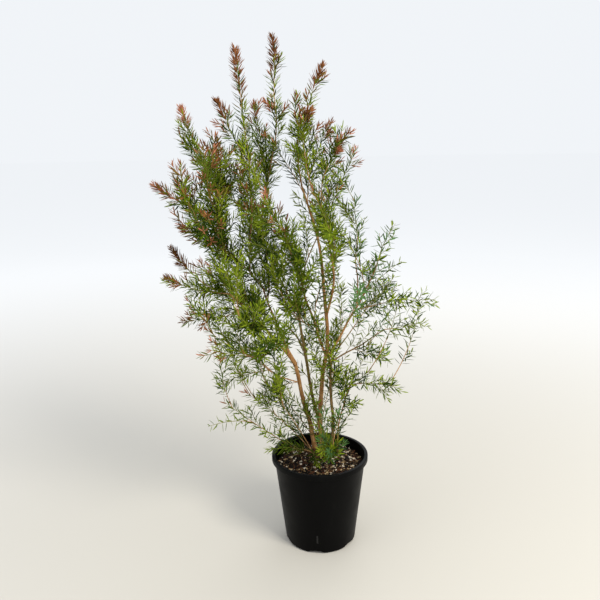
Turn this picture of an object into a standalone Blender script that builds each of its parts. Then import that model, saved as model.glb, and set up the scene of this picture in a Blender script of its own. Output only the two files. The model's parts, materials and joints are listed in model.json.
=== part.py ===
"""A bottlebrush shrub in a plastic nursery pot, 1.22 m tall from the pot's underside to the highest tip.

Sizes below are millimetres and the meshes are built in metres. +X is right, +Y is back and +Z is up.
The origin is the centre of the pot's flat underside.

The plant is worked out as a branching skeleton. Stems rise from the root crown or the soil, boughs leave
the stems, and every mass of foliage has an axis that leaves a bough or another mass. A row gives the
bearing (degrees from +X towards +Y), the rise (degrees above level), the length, and how far the middle
is bowed sideways and upwards.
"""

import math
import random
from collections import namedtuple

import bmesh
import bpy
from mathutils import Matrix, Vector
from mathutils.bvhtree import BVHTree

MM = 0.001
UP = Vector((0.0, 0.0, 1.0))

# pot
POT_HEIGHT = 227.0
RIM_RADIUS = 120.0
WALL_RADIUS_TOP = 113.0
BASE_RADIUS = 88.5
WALL = 2.6
FLOOR = 3.0
FOOT_CORNER = 6.0
LIP_HEIGHT = 12.5
LIP_SHELL = 2.4
LIP_ROUND = 1.2
INSIDE_CORNER = 4.0
POT_SIDES = 56
WALL_RINGS = (60.0, 140.0)
SLOT_COUNT = 6
SLOT_WIDTH = 50.0
SLOT_HEIGHT = 8.0
SLOT_DEPTH = 12.0
SLOT_SIDES = 60
SLOT_FIRST_BEARING = -97.0
RIB_WIDTH = 4.0
RIB_HEIGHT = 22.0
RIB_PROUD = 0.8
RIB_FOOT = 31.0
RIB_BEARING = -95.0

# soil
SOIL_TOP = 204.0
SOIL_EDGE = 199.0
SOIL_UNEVEN = 2.2
SOIL_PLATEAU = 64.0
SOIL_PLATEAU_AT = (6.0, 28.0)
SOIL_SHOULDER = 10.0
SOIL_SIDES = 28
SOIL_RINGS = 5
SOIL_GAP = 0.7

# root crown, a low woody stump that two stems share
CROWN_AT = (-3.0, 37.0)
CROWN_FOOT = (27.0, 18.0)
CROWN_TOP = (21.0, 12.5)
CROWN_LEVEL = 222.0
CROWN_SIDES = 18
CROWN_RINGS = 5
CROWN_UNEVEN = 0.10
CROWN_SPREAD = 1.8

# clearances and mesh fineness
GAP = 0.3
FOOT_GAP = 0.5
FORK_CLEAR = 1.6
FORK_BELOW = 0.08
LIMB_CLEAR = 1.2
MASS_CLEAR = 1.4
POT_CLEAR = 12.0
SOIL_CLEAR = 2.5
RIM_CLEAR = 4.0
SKELETON_STEPS = 32
ALONG_STEP = 0.02
LIMB_SIDES = 8
LIMB_RING_EVERY = 36.0
LIMB_FLARE = 0.16
LIMB_FLARE_LENGTH = 11.0
LIMB_FIRST_RING = 3.0
LIMB_FEWEST_RINGS = 4
LIMB_WANDER = 0.010
WANDER_WAVES = (9.0, 7.0)
WANDER_PHASE = 1.7
MASS_SIDES = 9
MASS_RINGS = 6
MASS_FULLEST = 0.42
MASS_BLUNT_FOOT = 0.40
MASS_POINTED_TIP = 0.70
MASS_UNEVEN = 0.20
SLIMMEST = 0.12
REACH_STEPS = 24
LEAST_RADIUS = 4.0
BODY_CLEAR_OF_LIMB = 2.0
BODY_CLEAR_OF_MASS = 3.0
FOLLOW_STEP = 0.01
SETTLE_ROUNDS = 80
SETTLE_SHRINK = 0.93
SEED = 5818

Stem = namedtuple("Stem", "name across back level bearing rise length side lift foot tip")
Bough = namedtuple("Bough", "name parent share bearing rise length side lift foot tip")
Mass = namedtuple("Mass", "name parent share bearing rise length side lift girth colour")
Basal = namedtuple("Basal", "name across back bearing rise length side lift girth colour")

STEMS = [
    Stem("stem_left", -12, 38, "crown", 201, 78, 245, -4, 2, 5.8, 4.6),
    Stem("stem_centre", 6, 35, "crown", 326, 86, 265, -2, 12, 5.6, 5.0),
    Stem("stem_back", 22, 60, "soil", 155, 78, 390, 10, -6, 4.6, 3.0),
    Stem("stem_right", 28, 16, "soil", 258, 87, 280, 6, -2, 4.2, 2.9),
    Stem("stem_thin", 44, 20, "soil", 294, 72, 230, -2, 14, 1.9, 1.3),
]

BOUGHS = [
    Bough("bough_left_arch", "stem_left", 0.97, 210, 50, 259, 8, 6, 4.0, 2.0),
    Bough("bough_left_inner", "stem_left", 1.0, 180, 69, 205, -2, -6, 3.4, 1.8),
    Bough("bough_left_front", "bough_left_arch", 0.27, 244, 1, 104, 0, -2, 1.8, 1.1),
    Bough("bough_left_twig", "stem_left", 0.76, 213, 30, 100, -4, -4, 1.6, 1.1),
    Bough("leader", "stem_centre", 1.0, 185, 82, 405, 2, 18, 4.7, 2.0),
    Bough("bough_centre_left", "stem_centre", 0.95, 222, 69, 223, -6, 0, 3.1, 2.0),
    Bough("bough_centre_right", "leader", 0.22, 245, 77, 315, 32, 2, 3.0, 1.5),
    Bough("bough_back_rise", "stem_back", 0.90, 49, 71, 210, 12, 8, 2.0, 1.3),
    Bough("bough_right_main", "stem_right", 1.0, 344, 61, 162, 4, 0, 2.8, 1.8),
    Bough("bough_right_rise", "bough_right_main", 0.88, 101, 80, 105, -2, 4, 1.8, 1.2),
    Bough("bough_right_low", "stem_right", 0.93, 22, 24, 163, -2, 0, 2.1, 1.2),
    Bough("bough_right_back", "stem_centre", 0.80, 58, 25, 155, -2, 2, 2.0, 1.3),
    Bough("bough_left_back", "stem_back", 0.66, 134, 28, 160, -16, 12, 2.2, 1.3),
]

MASSES = [
    Mass("foliage_left_body", "bough_left_inner", 1.0, 221, 47, 180, 2, -2, 44, "green"),
    Mass("foliage_left_low", "bough_left_arch", 1.0, 187, 18, 155, 6, -8, 27, "green"),
    Mass("foliage_left_lower", "bough_left_arch", 0.80, 184, -8, 160, 6, -12, 29, "green"),
    Mass("foliage_left_sweep", "foliage_left_body", 0.55, 225, 33, 190, 12, 0, 34, "green"),
    Mass("foliage_left_back", "bough_left_back", 1.0, 182, 37, 260, -8, 6, 35, "dark"),
    Mass("foliage_left_under", "bough_left_front", 1.0, 209, 18, 135, 6, 0, 33, "bright"),
    Mass("foliage_left_twigs", "bough_left_twig", 1.0, 197, -12, 135, 0, 6, 33, "green"),
    Mass("foliage_centre_low", "bough_left_arch", 0.52, 251, 26, 155, 6, -16, 38, "bright"),
    Mass("foliage_centre_body", "bough_left_inner", 0.80, 103, 68, 160, -10, -6, 44, "dark"),
    Mass("foliage_crown_left", "foliage_left_body", 0.85, 180, 81, 190, 6, 4, 36, "green"),
    Mass("foliage_crown_mid", "foliage_left_body", 0.30, 282, 76, 275, 2, -14, 42, "green"),
    Mass("foliage_crown_front", "bough_centre_left", 1.0, 241, 55, 255, 4, 0, 36, "green"),
    Mass("foliage_crown_back", "foliage_centre_body", 0.80, 134, 62, 230, 0, -10, 42, "dark"),
    Mass("foliage_crown_column", "foliage_centre_body", 0.90, 307, 76, 195, -6, 10, 28, "green"),
    Mass("foliage_fan_outer", "foliage_crown_left", 0.35, 186, 28, 165, -4, -14, 24, "copper"),
    Mass("foliage_fan_left", "foliage_crown_left", 0.75, 160, 67, 180, 6, -2, 24, "copper"),
    Mass("foliage_fan_copper", "foliage_left_sweep", 0.55, 251, 61, 200, -8, -12, 25, "copper"),
    Mass("foliage_fan_front", "foliage_crown_left", 0.20, 268, 52, 240, -8, 0, 28, "green"),
    Mass("foliage_fan_back", "foliage_crown_back", 0.45, 144, 43, 225, 4, -20, 28, "green"),
    Mass("foliage_fan_high", "foliage_crown_mid", 0.86, 206, 66, 175, 4, 2, 25, "copper"),
    Mass("foliage_tall_left", "foliage_crown_mid", 0.98, 129, 80, 240, -2, -4, 21, "copper"),
    Mass("foliage_upper_left", "foliage_crown_column", 0.70, 119, 73, 215, -2, 0, 26, "copper"),
    Mass("foliage_top", "foliage_crown_column", 0.85, 299, 84, 315, 10, -10, 20, "copper"),
    Mass("foliage_top_centre", "leader", 1.0, 261, 77, 215, -4, -4, 24, "green"),
    Mass("foliage_top_right", "bough_centre_right", 1.0, 44, 81, 275, 22, 20, 22, "copper"),
    Mass("foliage_upper_right", "leader", 0.90, 51, 62, 220, 10, 10, 27, "green"),
    Mass("foliage_right_shoulder", "bough_centre_right", 0.85, 341, 68, 190, -6, 20, 28, "green"),
    Mass("foliage_right_edge", "foliage_centre_back", 0.70, 326, 57, 135, -8, -18, 24, "copper"),
    Mass("foliage_centre_front", "bough_centre_right", 0.42, 258, 50, 200, 16, -12, 34, "bright"),
    Mass("foliage_centre_back", "bough_back_rise", 1.0, 12, 75, 185, 4, -6, 36, "dark"),
    Mass("foliage_right_column", "bough_right_rise", 1.0, 101, 82, 155, -6, -2, 30, "bluish"),
    Mass("foliage_right_blue", "bough_right_main", 1.0, 320, 65, 215, -6, -4, 30, "bluish"),
    Mass("foliage_right_tip", "bough_right_main", 0.80, 338, 12, 205, -4, 10, 32, "green"),
    Mass("foliage_right_low", "bough_right_low", 1.0, 21, 5, 120, 2, -4, 31, "green"),
    Mass("foliage_right_back", "bough_right_back", 1.0, 31, 40, 185, 6, 2, 36, "dark"),
    Mass("foliage_right_mid", "bough_right_low", 0.42, 31, -21, 115, 2, -2, 34, "green"),
    Mass("foliage_right_under", "stem_thin", 1.0, 340, 2, 130, -4, 12, 34, "bright"),
]

BASALS = [
    Basal("foliage_foot_left", -40, 42, 201, 41, 280, -12, -6, 18, "green"),
    Basal("foliage_foot_front", 24, 0, 275, 46, 125, 0, -4, 26, "bright"),
]

LOOKS = {
    "pot_plastic": ((0.012, 0.012, 0.013), 0.42),
    "potting_mix": ((0.060, 0.032, 0.018), 0.95),
    "bark": ((0.235, 0.130, 0.075), 0.85),
    "bark_olive": ((0.110, 0.085, 0.045), 0.80),
    "foliage_green": ((0.085, 0.190, 0.040), 0.60),
    "foliage_bright": ((0.150, 0.260, 0.050), 0.60),
    "foliage_dark": ((0.040, 0.110, 0.035), 0.60),
    "foliage_bluish": ((0.070, 0.170, 0.075), 0.60),
    "foliage_copper": ((0.210, 0.130, 0.060), 0.60),
}


def heading(bearing, rise):
    """The direction of a limb, and its sideways and upward directions at right angles to it."""
    turn = math.radians(bearing)
    climb = math.radians(rise)
    ahead = Vector((math.cos(climb) * math.cos(turn), math.cos(climb) * math.sin(turn), math.sin(climb)))
    side = Vector((-math.sin(turn), math.cos(turn), 0.0))
    return ahead, side, ahead.cross(side)


class Axis:
    """A bowed centre line with a radius along it. A limb's also wanders a little to and fro."""

    def __init__(self, start, row, radius_at, wander=0.0, phase=0.0):
        ahead, side, lift = heading(row.bearing, row.rise)
        end = start + ahead * row.length
        middle = (start + end) / 2 + 2 * (side * row.side + lift * row.lift)
        self.points = []
        for step in range(SKELETON_STEPS + 1):
            u = step / SKELETON_STEPS
            wave = wander * row.length * math.sin(math.pi * u) ** 2
            sway = side * math.sin(WANDER_WAVES[0] * u + phase) + lift * math.sin(WANDER_WAVES[1] * u + phase)
            bowed = start * (1 - u) ** 2 + middle * 2 * u * (1 - u) + end * u * u
            self.points.append(bowed + sway * wave)
        self.radius_at = radius_at
        self.length = sum((b - a).length for a, b in zip(self.points, self.points[1:]))
        self.first = 0.0

    def at(self, u):
        place = min(max(u, 0.0), 1.0) * SKELETON_STEPS
        index = min(int(place), SKELETON_STEPS - 1)
        return self.points[index].lerp(self.points[index + 1], place - index)

    def along(self, u):
        return (self.at(u + ALONG_STEP) - self.at(u - ALONG_STEP)).normalized()

    def near(self, point):
        """The nearest share of the centre line to a point, and the distance from it."""
        best = (1e9, 0.0)
        for index, (a, b) in enumerate(zip(self.points, self.points[1:])):
            step = b - a
            share = min(max((point - a).dot(step) / step.length_squared, 0.0), 1.0)
            away = (a + step * share - point).length
            best = min(best, (away, (index + share) / SKELETON_STEPS))
        return best[1], best[0]

    def clearance(self, point):
        """How far the point lies outside the surface that the radius describes."""
        share, away = self.near(point)
        return away - self.radius_at(share)


def limb_radius(foot, tip, length):
    def radius(u):
        flare = 1 + LIMB_FLARE * math.exp(-max(u, 0.0) * length / LIMB_FLARE_LENGTH)
        return (tip + (foot - tip) * (1 - min(max(u, 0.0), 1.0))) * flare
    return radius


def mass_radius(girth):
    def radius(u):
        if u <= MASS_FULLEST:
            return girth * max(1 - ((MASS_FULLEST - u) / MASS_FULLEST) ** 2, 0.0) ** MASS_BLUNT_FOOT
        return girth * max(1 - ((u - MASS_FULLEST) / (1 - MASS_FULLEST)) ** 2, 0.0) ** MASS_POINTED_TIP
    return radius


def soil_height(x, y, noise=0.0):
    """The soil is level round the stems, and falls unevenly towards the pot's wall."""
    from_plateau = math.hypot(x - SOIL_PLATEAU_AT[0], y - SOIL_PLATEAU_AT[1]) - SOIL_PLATEAU
    if from_plateau <= 0:
        return SOIL_TOP
    fall = min(from_plateau / (WALL_RADIUS_TOP - SOIL_PLATEAU), 1.0)
    dips = SOIL_UNEVEN * noise * min(from_plateau / SOIL_SHOULDER, 1.0)
    return SOIL_TOP - (SOIL_TOP - SOIL_EDGE) * fall - dips


def material(slot):
    made = bpy.data.materials.get(slot)
    if made is None:
        colour, rough = LOOKS[slot]
        made = bpy.data.materials.new(slot)
        made.use_nodes = True
        shader = made.node_tree.nodes["Principled BSDF"]
        shader.inputs["Base Color"].default_value = (*colour, 1.0)
        shader.inputs["Roughness"].default_value = rough
    return made


def build(name, points, faces, slot):
    mesh = bpy.data.meshes.new(name)
    mesh.from_pydata([tuple(p * MM) for p in points], [], faces)
    mesh.materials.append(material(slot))
    mesh.shade_smooth()
    made = bpy.data.objects.new(name, mesh)
    bpy.context.scene.collection.objects.link(made)
    return made


def lofted(rings, caps):
    """Points and triangles of rings joined in order, closed at both ends by a fan round each cap point."""
    sides = len(rings[0])
    points = [p for ring in rings for p in ring] + list(caps)
    faces = []
    for ring in range(len(rings) - 1):
        for k in range(sides):
            a = ring * sides + k
            b = ring * sides + (k + 1) % sides
            faces.append((a, b, b + sides))
            faces.append((a, b + sides, a + sides))
    low = len(rings) * sides
    last = (len(rings) - 1) * sides
    for k in range(sides):
        faces.append((low, (k + 1) % sides, k))
        faces.append((low + 1, last + k, last + (k + 1) % sides))
    return points, faces


def turned(name, profile, sides, slot):
    """A closed solid turned about the Z axis from a profile that runs down its outside, axis to axis."""
    mesh = bpy.data.meshes.new(name)
    edges = [(index, index + 1) for index in range(len(profile) - 1)]
    mesh.from_pydata([(radius * MM, 0.0, height * MM) for radius, height in profile], edges, [])
    mesh.materials.append(material(slot))
    made = bpy.data.objects.new(name, mesh)
    bpy.context.scene.collection.objects.link(made)
    screw = made.modifiers.new("turn", "SCREW")
    screw.angle = math.tau
    screw.steps = sides
    screw.render_steps = sides
    screw.use_merge_vertices = True
    screw.merge_threshold = 0.00001
    screw.use_smooth_shade = True
    return made


def helper(name, points_made):
    """A hidden solid that cuts or joins another."""
    mesh = bpy.data.meshes.new(name)
    points_made.to_mesh(mesh)
    points_made.free()
    made = bpy.data.objects.new(name, mesh)
    bpy.context.scene.collection.objects.link(made)
    made.hide_render = True
    made.display_type = "WIRE"
    return made


def combine(target, other, operation):
    joined = target.modifiers.new(other.name, "BOOLEAN")
    joined.operation = operation
    joined.solver = "EXACT"
    joined.object = other


def wall_outside(height):
    rise = (height - FOOT_CORNER) / (POT_HEIGHT - LIP_HEIGHT - FOOT_CORNER)
    return BASE_RADIUS + (WALL_RADIUS_TOP - BASE_RADIUS) * rise


def wall_inside(height):
    return wall_outside(height) - WALL


def quarter(centre, radius, start, steps):
    """Points of a quarter circle from the start angle in degrees, clockwise where steps is negative."""
    found = []
    for step in range(abs(steps) + 1):
        turn = math.radians(start + 90.0 * step / steps)
        found.append((centre[0] + radius * math.cos(turn), centre[1] + radius * math.sin(turn)))
    return found


def slot_cutters():
    """Lying cylinders whose tops cut a row of shallow arches round the pot's foot."""
    arch = (SLOT_WIDTH ** 2 / 4 + SLOT_HEIGHT ** 2) / (2 * SLOT_HEIGHT)
    cutters = bmesh.new()
    for slot in range(SLOT_COUNT):
        bearing = math.radians(SLOT_FIRST_BEARING + 360.0 * slot / SLOT_COUNT)
        place = (
            Matrix.Rotation(bearing, 4, "Z")
            @ Matrix.Translation(Vector((BASE_RADIUS, 0.0, SLOT_HEIGHT - arch)) * MM)
            @ Matrix.Rotation(math.radians(90.0), 4, "Y")
        )
        bmesh.ops.create_cone(
            cutters, cap_ends=True, segments=SLOT_SIDES, radius1=arch * MM, radius2=arch * MM,
            depth=2 * SLOT_DEPTH * MM, matrix=place,
        )
    return helper("slot_cutters", cutters)


def wall_rib():
    """A small upright rib on the wall's front, just above the foot."""
    rib = bmesh.new()
    middle = RIB_FOOT + RIB_HEIGHT / 2
    lean = math.atan2(WALL_RADIUS_TOP - BASE_RADIUS, POT_HEIGHT - LIP_HEIGHT - FOOT_CORNER)
    place = (
        Matrix.Rotation(math.radians(RIB_BEARING), 4, "Z")
        @ Matrix.Translation(Vector((wall_outside(middle), 0.0, middle)) * MM)
        @ Matrix.Rotation(lean, 4, "Y")
        @ Matrix.Diagonal((2 * RIB_PROUD * MM, RIB_WIDTH * MM, RIB_HEIGHT * MM, 1.0))
    )
    bmesh.ops.create_cube(rib, size=1.0, matrix=place)
    return helper("rib_on_wall", rib)


def make_pot():
    """A thin tapered wall with a rolled lip, open underneath, and drainage slots cut round the foot."""
    lip_foot = POT_HEIGHT - LIP_HEIGHT
    lip_outside = RIM_RADIUS - LIP_SHELL
    profile = [(0.0, FLOOR), (wall_inside(FLOOR) - INSIDE_CORNER, FLOOR)]
    profile += [(wall_inside(height), height) for height in (FLOOR + INSIDE_CORNER, *WALL_RINGS)]
    profile += quarter((wall_inside(POT_HEIGHT) + LIP_ROUND, POT_HEIGHT - LIP_ROUND), LIP_ROUND, 180.0, -3)
    profile += quarter((RIM_RADIUS - LIP_ROUND, POT_HEIGHT - LIP_ROUND), LIP_ROUND, 90.0, -3)
    profile += [(RIM_RADIUS, lip_foot), (lip_outside, lip_foot), (lip_outside, POT_HEIGHT - LIP_SHELL)]
    profile += [(wall_outside(height), height) for height in (POT_HEIGHT - LIP_SHELL, *reversed(WALL_RINGS))]
    profile += quarter((BASE_RADIUS - FOOT_CORNER, FOOT_CORNER), FOOT_CORNER, 0.0, -4)
    profile += [(0.0, 0.0)]
    pot = turned("pot", profile, POT_SIDES, "pot_plastic")
    combine(pot, wall_rib(), "UNION")
    combine(pot, slot_cutters(), "DIFFERENCE")
    return pot


def make_soil(rng):
    """The potting mix, a gap inside the pot's wall, with an uneven top."""
    low = FLOOR + SOIL_GAP
    turns = [math.tau * k / SOIL_SIDES for k in range(SOIL_SIDES)]
    sides = [(wall_inside(FLOOR) - INSIDE_CORNER - SOIL_GAP, low)]
    for level in (low + INSIDE_CORNER, SOIL_EDGE / 2):
        sides.append((wall_inside(level) - SOIL_GAP, level))
    rings = [[Vector((radius * math.cos(turn), radius * math.sin(turn), level)) for turn in turns]
             for radius, level in sides]
    edge = wall_inside(SOIL_EDGE) - SOIL_GAP
    for ring in range(SOIL_RINGS):
        reach = edge * (1 - ring / SOIL_RINGS)
        flat = [(reach * math.cos(turn), reach * math.sin(turn)) for turn in turns]
        rings.append([Vector((x, y, soil_height(x, y, rng.random()))) for x, y in flat])
    caps = [Vector((0.0, 0.0, low)), Vector((0.0, 0.0, SOIL_TOP))]
    points, faces = lofted(rings, caps)
    return build("soil", points, faces, "potting_mix")


def make_root_crown(rng):
    """A low, lumpy stump with a flat foot at ground level and a flat top under the two main stems."""
    lumps = [1 + CROWN_UNEVEN * (rng.random() - 0.5) for _ in range(CROWN_SIDES)]
    rings = []
    for ring in range(CROWN_RINGS):
        u = ring / (CROWN_RINGS - 1)
        spread = (1 - u) ** CROWN_SPREAD
        level = SOIL_TOP + FOOT_GAP + (CROWN_LEVEL - SOIL_TOP - FOOT_GAP) * u
        wide = CROWN_TOP[0] + (CROWN_FOOT[0] - CROWN_TOP[0]) * spread
        deep = CROWN_TOP[1] + (CROWN_FOOT[1] - CROWN_TOP[1]) * spread
        rings.append([
            Vector((
                CROWN_AT[0] + wide * lumps[k] * math.cos(math.tau * k / CROWN_SIDES),
                CROWN_AT[1] + deep * lumps[k] * math.sin(math.tau * k / CROWN_SIDES),
                level,
            ))
            for k in range(CROWN_SIDES)
        ])
    caps = [Vector((*CROWN_AT, SOIL_TOP + FOOT_GAP)), Vector((*CROWN_AT, CROWN_LEVEL))]
    points, faces = lofted(rings, caps)
    return build("root_crown", points, faces, "bark")


def frame_along(axis, shares):
    """Two directions across the axis at each share, carried along so that the surface does not twist."""
    across = axis.along(shares[0]).orthogonal().normalized()
    found = []
    for share in shares:
        ahead = axis.along(share)
        across = (across - ahead * across.dot(ahead)).normalized()
        found.append((across, ahead.cross(across)))
    return found


def make_limb(row, axis, foot_at, foot_normal):
    """A tapering tube whose foot is cut flat along the surface that it grows from."""
    ahead = axis.along(0.0)
    across = ahead.orthogonal().normalized()
    over = ahead.cross(across)
    turns = [math.tau * k / LIMB_SIDES for k in range(LIMB_SIDES)]
    foot = []
    reach = []
    for turn in turns:
        ray = axis.at(0.0) + (across * math.cos(turn) + over * math.sin(turn)) * axis.radius_at(0.0)
        slide = (foot_at - ray).dot(foot_normal) / ahead.dot(foot_normal)
        foot.append(ray + ahead * slide)
        reach.append(slide)
    first = (max(reach) + LIMB_FIRST_RING) / axis.length
    count = max(LIMB_FEWEST_RINGS, round(axis.length * (1 - first) / LIMB_RING_EVERY))
    shares = [first + (1 - first) * step / count for step in range(count + 1)]
    rings = [foot]
    for share, (across, over) in zip(shares, frame_along(axis, shares)):
        centre = axis.at(share)
        radius = axis.radius_at(share)
        rings.append([centre + (across * math.cos(turn) + over * math.sin(turn)) * radius for turn in turns])
    caps = [sum(foot, Vector()) / LIMB_SIDES, sum(rings[-1], Vector()) / LIMB_SIDES]
    points, faces = lofted(rings, caps)
    return build(row.name, points, faces, "bark_olive" if "back" in row.name else "bark")


def over_pot(point):
    """Whether a point of foliage is clear of the soil and of the pot's rim."""
    out = math.hypot(point.x, point.y)
    if out < WALL_RADIUS_TOP - POT_CLEAR:
        return point.z > SOIL_TOP + SOIL_CLEAR
    return out > RIM_RADIUS + RIM_CLEAR or point.z > POT_HEIGHT + RIM_CLEAR


def outward_limit(own, others, limbs, centre, way, wanted):
    """The furthest that a mass reaches this way before it meets a limb or comes nearer a neighbour's axis."""
    for step in range(REACH_STEPS, 0, -1):
        reach = wanted * step / REACH_STEPS
        point = centre + way * reach
        if not over_pot(point):
            continue
        if any(limb.clearance(point) < LIMB_CLEAR for limb in limbs):
            continue
        share, away = own.near(point)
        mine = (away + MASS_CLEAR) / max(own.radius_at(share), LEAST_RADIUS)
        for other in others:
            share, away = other.near(point)
            if share < other.first:
                continue
            if (away - MASS_CLEAR) / max(other.radius_at(share), LEAST_RADIUS) < mine:
                break
        else:
            return reach
    return wanted * SLIMMEST


def make_mass(row, axis, others, limbs, rng):
    """A closed, uneven body of foliage round its axis, pointed at the tip."""
    turns = [math.tau * k / MASS_SIDES for k in range(MASS_SIDES)]
    shares = [axis.first + (1 - axis.first) * (ring + 1) / (MASS_RINGS + 1) for ring in range(MASS_RINGS)]
    rings = []
    hearts = []
    for share, (across, over) in zip(shares, frame_along(axis, shares)):
        centre = axis.at(share)
        body = axis.radius_at((share - axis.first) / (1 - axis.first))
        ring = []
        for turn in turns:
            way = across * math.cos(turn) + over * math.sin(turn)
            wanted = body * (1 + MASS_UNEVEN * rng.uniform(-1.0, 1.0))
            ring.append(centre + way * outward_limit(axis, others, limbs, centre, way, wanted))
        rings.append(ring)
        hearts.append(centre)
    points, faces = lofted(rings, [axis.at(axis.first), axis.at(1.0)])
    return {"row": row, "points": points, "faces": faces, "hearts": hearts}


def tree_of(points, faces):
    return BVHTree.FromPolygons([tuple(p) for p in points], faces, epsilon=GAP)


def boxes_meet(a, b):
    for axis in range(3):
        if min(p[axis] for p in a) - GAP > max(p[axis] for p in b):
            return False
        if min(p[axis] for p in b) - GAP > max(p[axis] for p in a):
            return False
    return True


def draw_in(mass, touched):
    """Pulls the touched corners of a mass a little towards its axis."""
    count = len(mass["hearts"])
    for index in touched:
        ring = index // MASS_SIDES
        if ring < count:
            heart = mass["hearts"][ring]
            mass["points"][index] = heart.lerp(mass["points"][index], SETTLE_SHRINK)


def settle(masses, fixed):
    """Draws the masses in until none of them meets another or a limb."""
    for _ in range(SETTLE_ROUNDS):
        trees = [tree_of(m["points"], m["faces"]) for m in masses]
        meeting = {index: set() for index in range(len(masses))}
        for i, mass in enumerate(masses):
            for j in range(i + 1, len(masses)):
                if not boxes_meet(mass["points"], masses[j]["points"]):
                    continue
                for mine, theirs in trees[i].overlap(trees[j]):
                    meeting[i].update(mass["faces"][mine])
                    meeting[j].update(masses[j]["faces"][theirs])
            for points, tree in fixed:
                if boxes_meet(mass["points"], points):
                    for mine, _ in trees[i].overlap(tree):
                        meeting[i].update(mass["faces"][mine])
        if not any(meeting.values()):
            return []
        for index, touched in meeting.items():
            draw_in(masses[index], touched)
    return [masses[index]["row"].name for index, touched in meeting.items() if touched]


def limb_axis(start, row, number):
    radius_at = limb_radius(row.foot, row.tip, row.length)
    return Axis(start, row, radius_at, LIMB_WANDER, WANDER_PHASE * number)


def grow_limbs():
    """The stems and boughs: each one's axis by name, and its solid."""
    axes = {}
    for row in STEMS:
        level = CROWN_LEVEL if row.level == "crown" else SOIL_TOP
        start = Vector((row.across, row.back, level + FOOT_GAP))
        axes[row.name] = limb_axis(start, row, len(axes))
        make_limb(row, axes[row.name], start, UP)
    for row in BOUGHS:
        parent = axes[row.parent]
        start = parent.at(row.share)
        axis = limb_axis(start, row, len(axes))
        ahead = axis.along(0.0)
        trunk_way = parent.along(row.share)
        if row.share >= 1.0:
            normal = trunk_way
            surface = start + normal * FOOT_GAP
        else:
            normal = (ahead - trunk_way * ahead.dot(trunk_way)).normalized()
            surface = start + normal * (parent.radius_at(row.share - FORK_BELOW) + FORK_CLEAR)
        axes[row.name] = axis
        make_limb(row, axis, surface, normal)
    return axes


def place_mass_axes(limbs):
    """Each mass's axis. Its body begins where the axis has left the limb or the mass that it grows from."""
    axes = {}
    waiting = list(MASSES)
    while waiting:
        row = waiting.pop(0)
        parent = axes.get(row.parent) or limbs.get(row.parent)
        if parent is None:
            waiting.append(row)
            continue
        axis = Axis(parent.at(row.share), row, mass_radius(row.girth))
        clear = BODY_CLEAR_OF_LIMB if row.parent in limbs else BODY_CLEAR_OF_MASS
        share = 0.0
        while parent.clearance(axis.at(share)) < clear:
            share += FOLLOW_STEP
        axis.first = share
        axes[row.name] = axis
    for row in BASALS:
        start = Vector((row.across, row.back, SOIL_TOP + BODY_CLEAR_OF_MASS))
        axes[row.name] = Axis(start, row, mass_radius(row.girth))
    return axes


def make_plant():
    rng = random.Random(SEED)
    make_root_crown(rng)
    limbs = grow_limbs()
    axes = place_mass_axes(limbs)
    masses = []
    for row in MASSES + BASALS:
        others = [axis for name, axis in axes.items() if name != row.name]
        masses.append(make_mass(row, axes[row.name], others, list(limbs.values()), rng))
    fixed = []
    for made in bpy.context.scene.objects:
        if made.name == "root_crown" or made.name in limbs:
            points = [v.co / MM for v in made.data.vertices]
            fixed.append((points, tree_of(points, [tuple(p.vertices) for p in made.data.polygons])))
    left = settle(masses, fixed)
    if left:
        print("still meeting:", left)
    for mass in masses:
        build(mass["row"].name, mass["points"], mass["faces"], "foliage_" + mass["row"].colour)


for old in list(bpy.data.objects):
    bpy.data.objects.remove(old, do_unlink=True)
make_pot()
make_soil(random.Random(SEED + 1))
make_plant()
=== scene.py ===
"""The looks of a potted bottlebrush shrub: bark, twigs and narrow leaves grown on its stems and boughs.

Lengths in the tables are millimetres, as in the part's source, and angles are degrees. The eye, the floor
and the lights are in metres, and so is everything made.
+X is right, +Y is back and +Z is up, and the origin is the centre of the pot's flat underside.
"""

import json
import math
import random
from collections import namedtuple

import bmesh
import bpy
import numpy as np
from mathutils import Matrix, Vector, noise

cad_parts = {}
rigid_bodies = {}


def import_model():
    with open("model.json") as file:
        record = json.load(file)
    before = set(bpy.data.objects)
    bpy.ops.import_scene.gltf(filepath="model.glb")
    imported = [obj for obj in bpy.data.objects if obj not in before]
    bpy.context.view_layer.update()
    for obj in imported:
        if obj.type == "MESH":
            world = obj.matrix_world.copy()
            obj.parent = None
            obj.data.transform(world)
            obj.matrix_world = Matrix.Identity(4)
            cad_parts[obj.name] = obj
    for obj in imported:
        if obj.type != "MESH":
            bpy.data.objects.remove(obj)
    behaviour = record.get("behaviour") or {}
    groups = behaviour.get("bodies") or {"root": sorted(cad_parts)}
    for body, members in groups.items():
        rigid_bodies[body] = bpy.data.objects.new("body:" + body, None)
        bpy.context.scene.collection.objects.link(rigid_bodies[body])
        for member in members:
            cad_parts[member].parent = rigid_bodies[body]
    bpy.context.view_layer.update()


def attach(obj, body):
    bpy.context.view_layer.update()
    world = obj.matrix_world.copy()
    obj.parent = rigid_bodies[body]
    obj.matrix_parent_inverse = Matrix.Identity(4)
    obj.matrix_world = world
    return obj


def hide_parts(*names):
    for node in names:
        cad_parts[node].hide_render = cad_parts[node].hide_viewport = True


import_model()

MM = 0.001
UP = np.array((0.0, 0.0, 1.0))
GOLDEN_TURN = math.radians(137.5)
SEED = 8290

# the photographed view
PHOTO_PIXELS = 600
SENSOR = 36.0
LENS = 38.58
EYE = np.array((0.0, -1.483, 0.976))
EYE_TURNED_LEFT = math.radians(1.65)
EYE_PITCHED_DOWN = math.radians(13.42)
EYE_ROLLED = math.radians(1.02)

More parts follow.
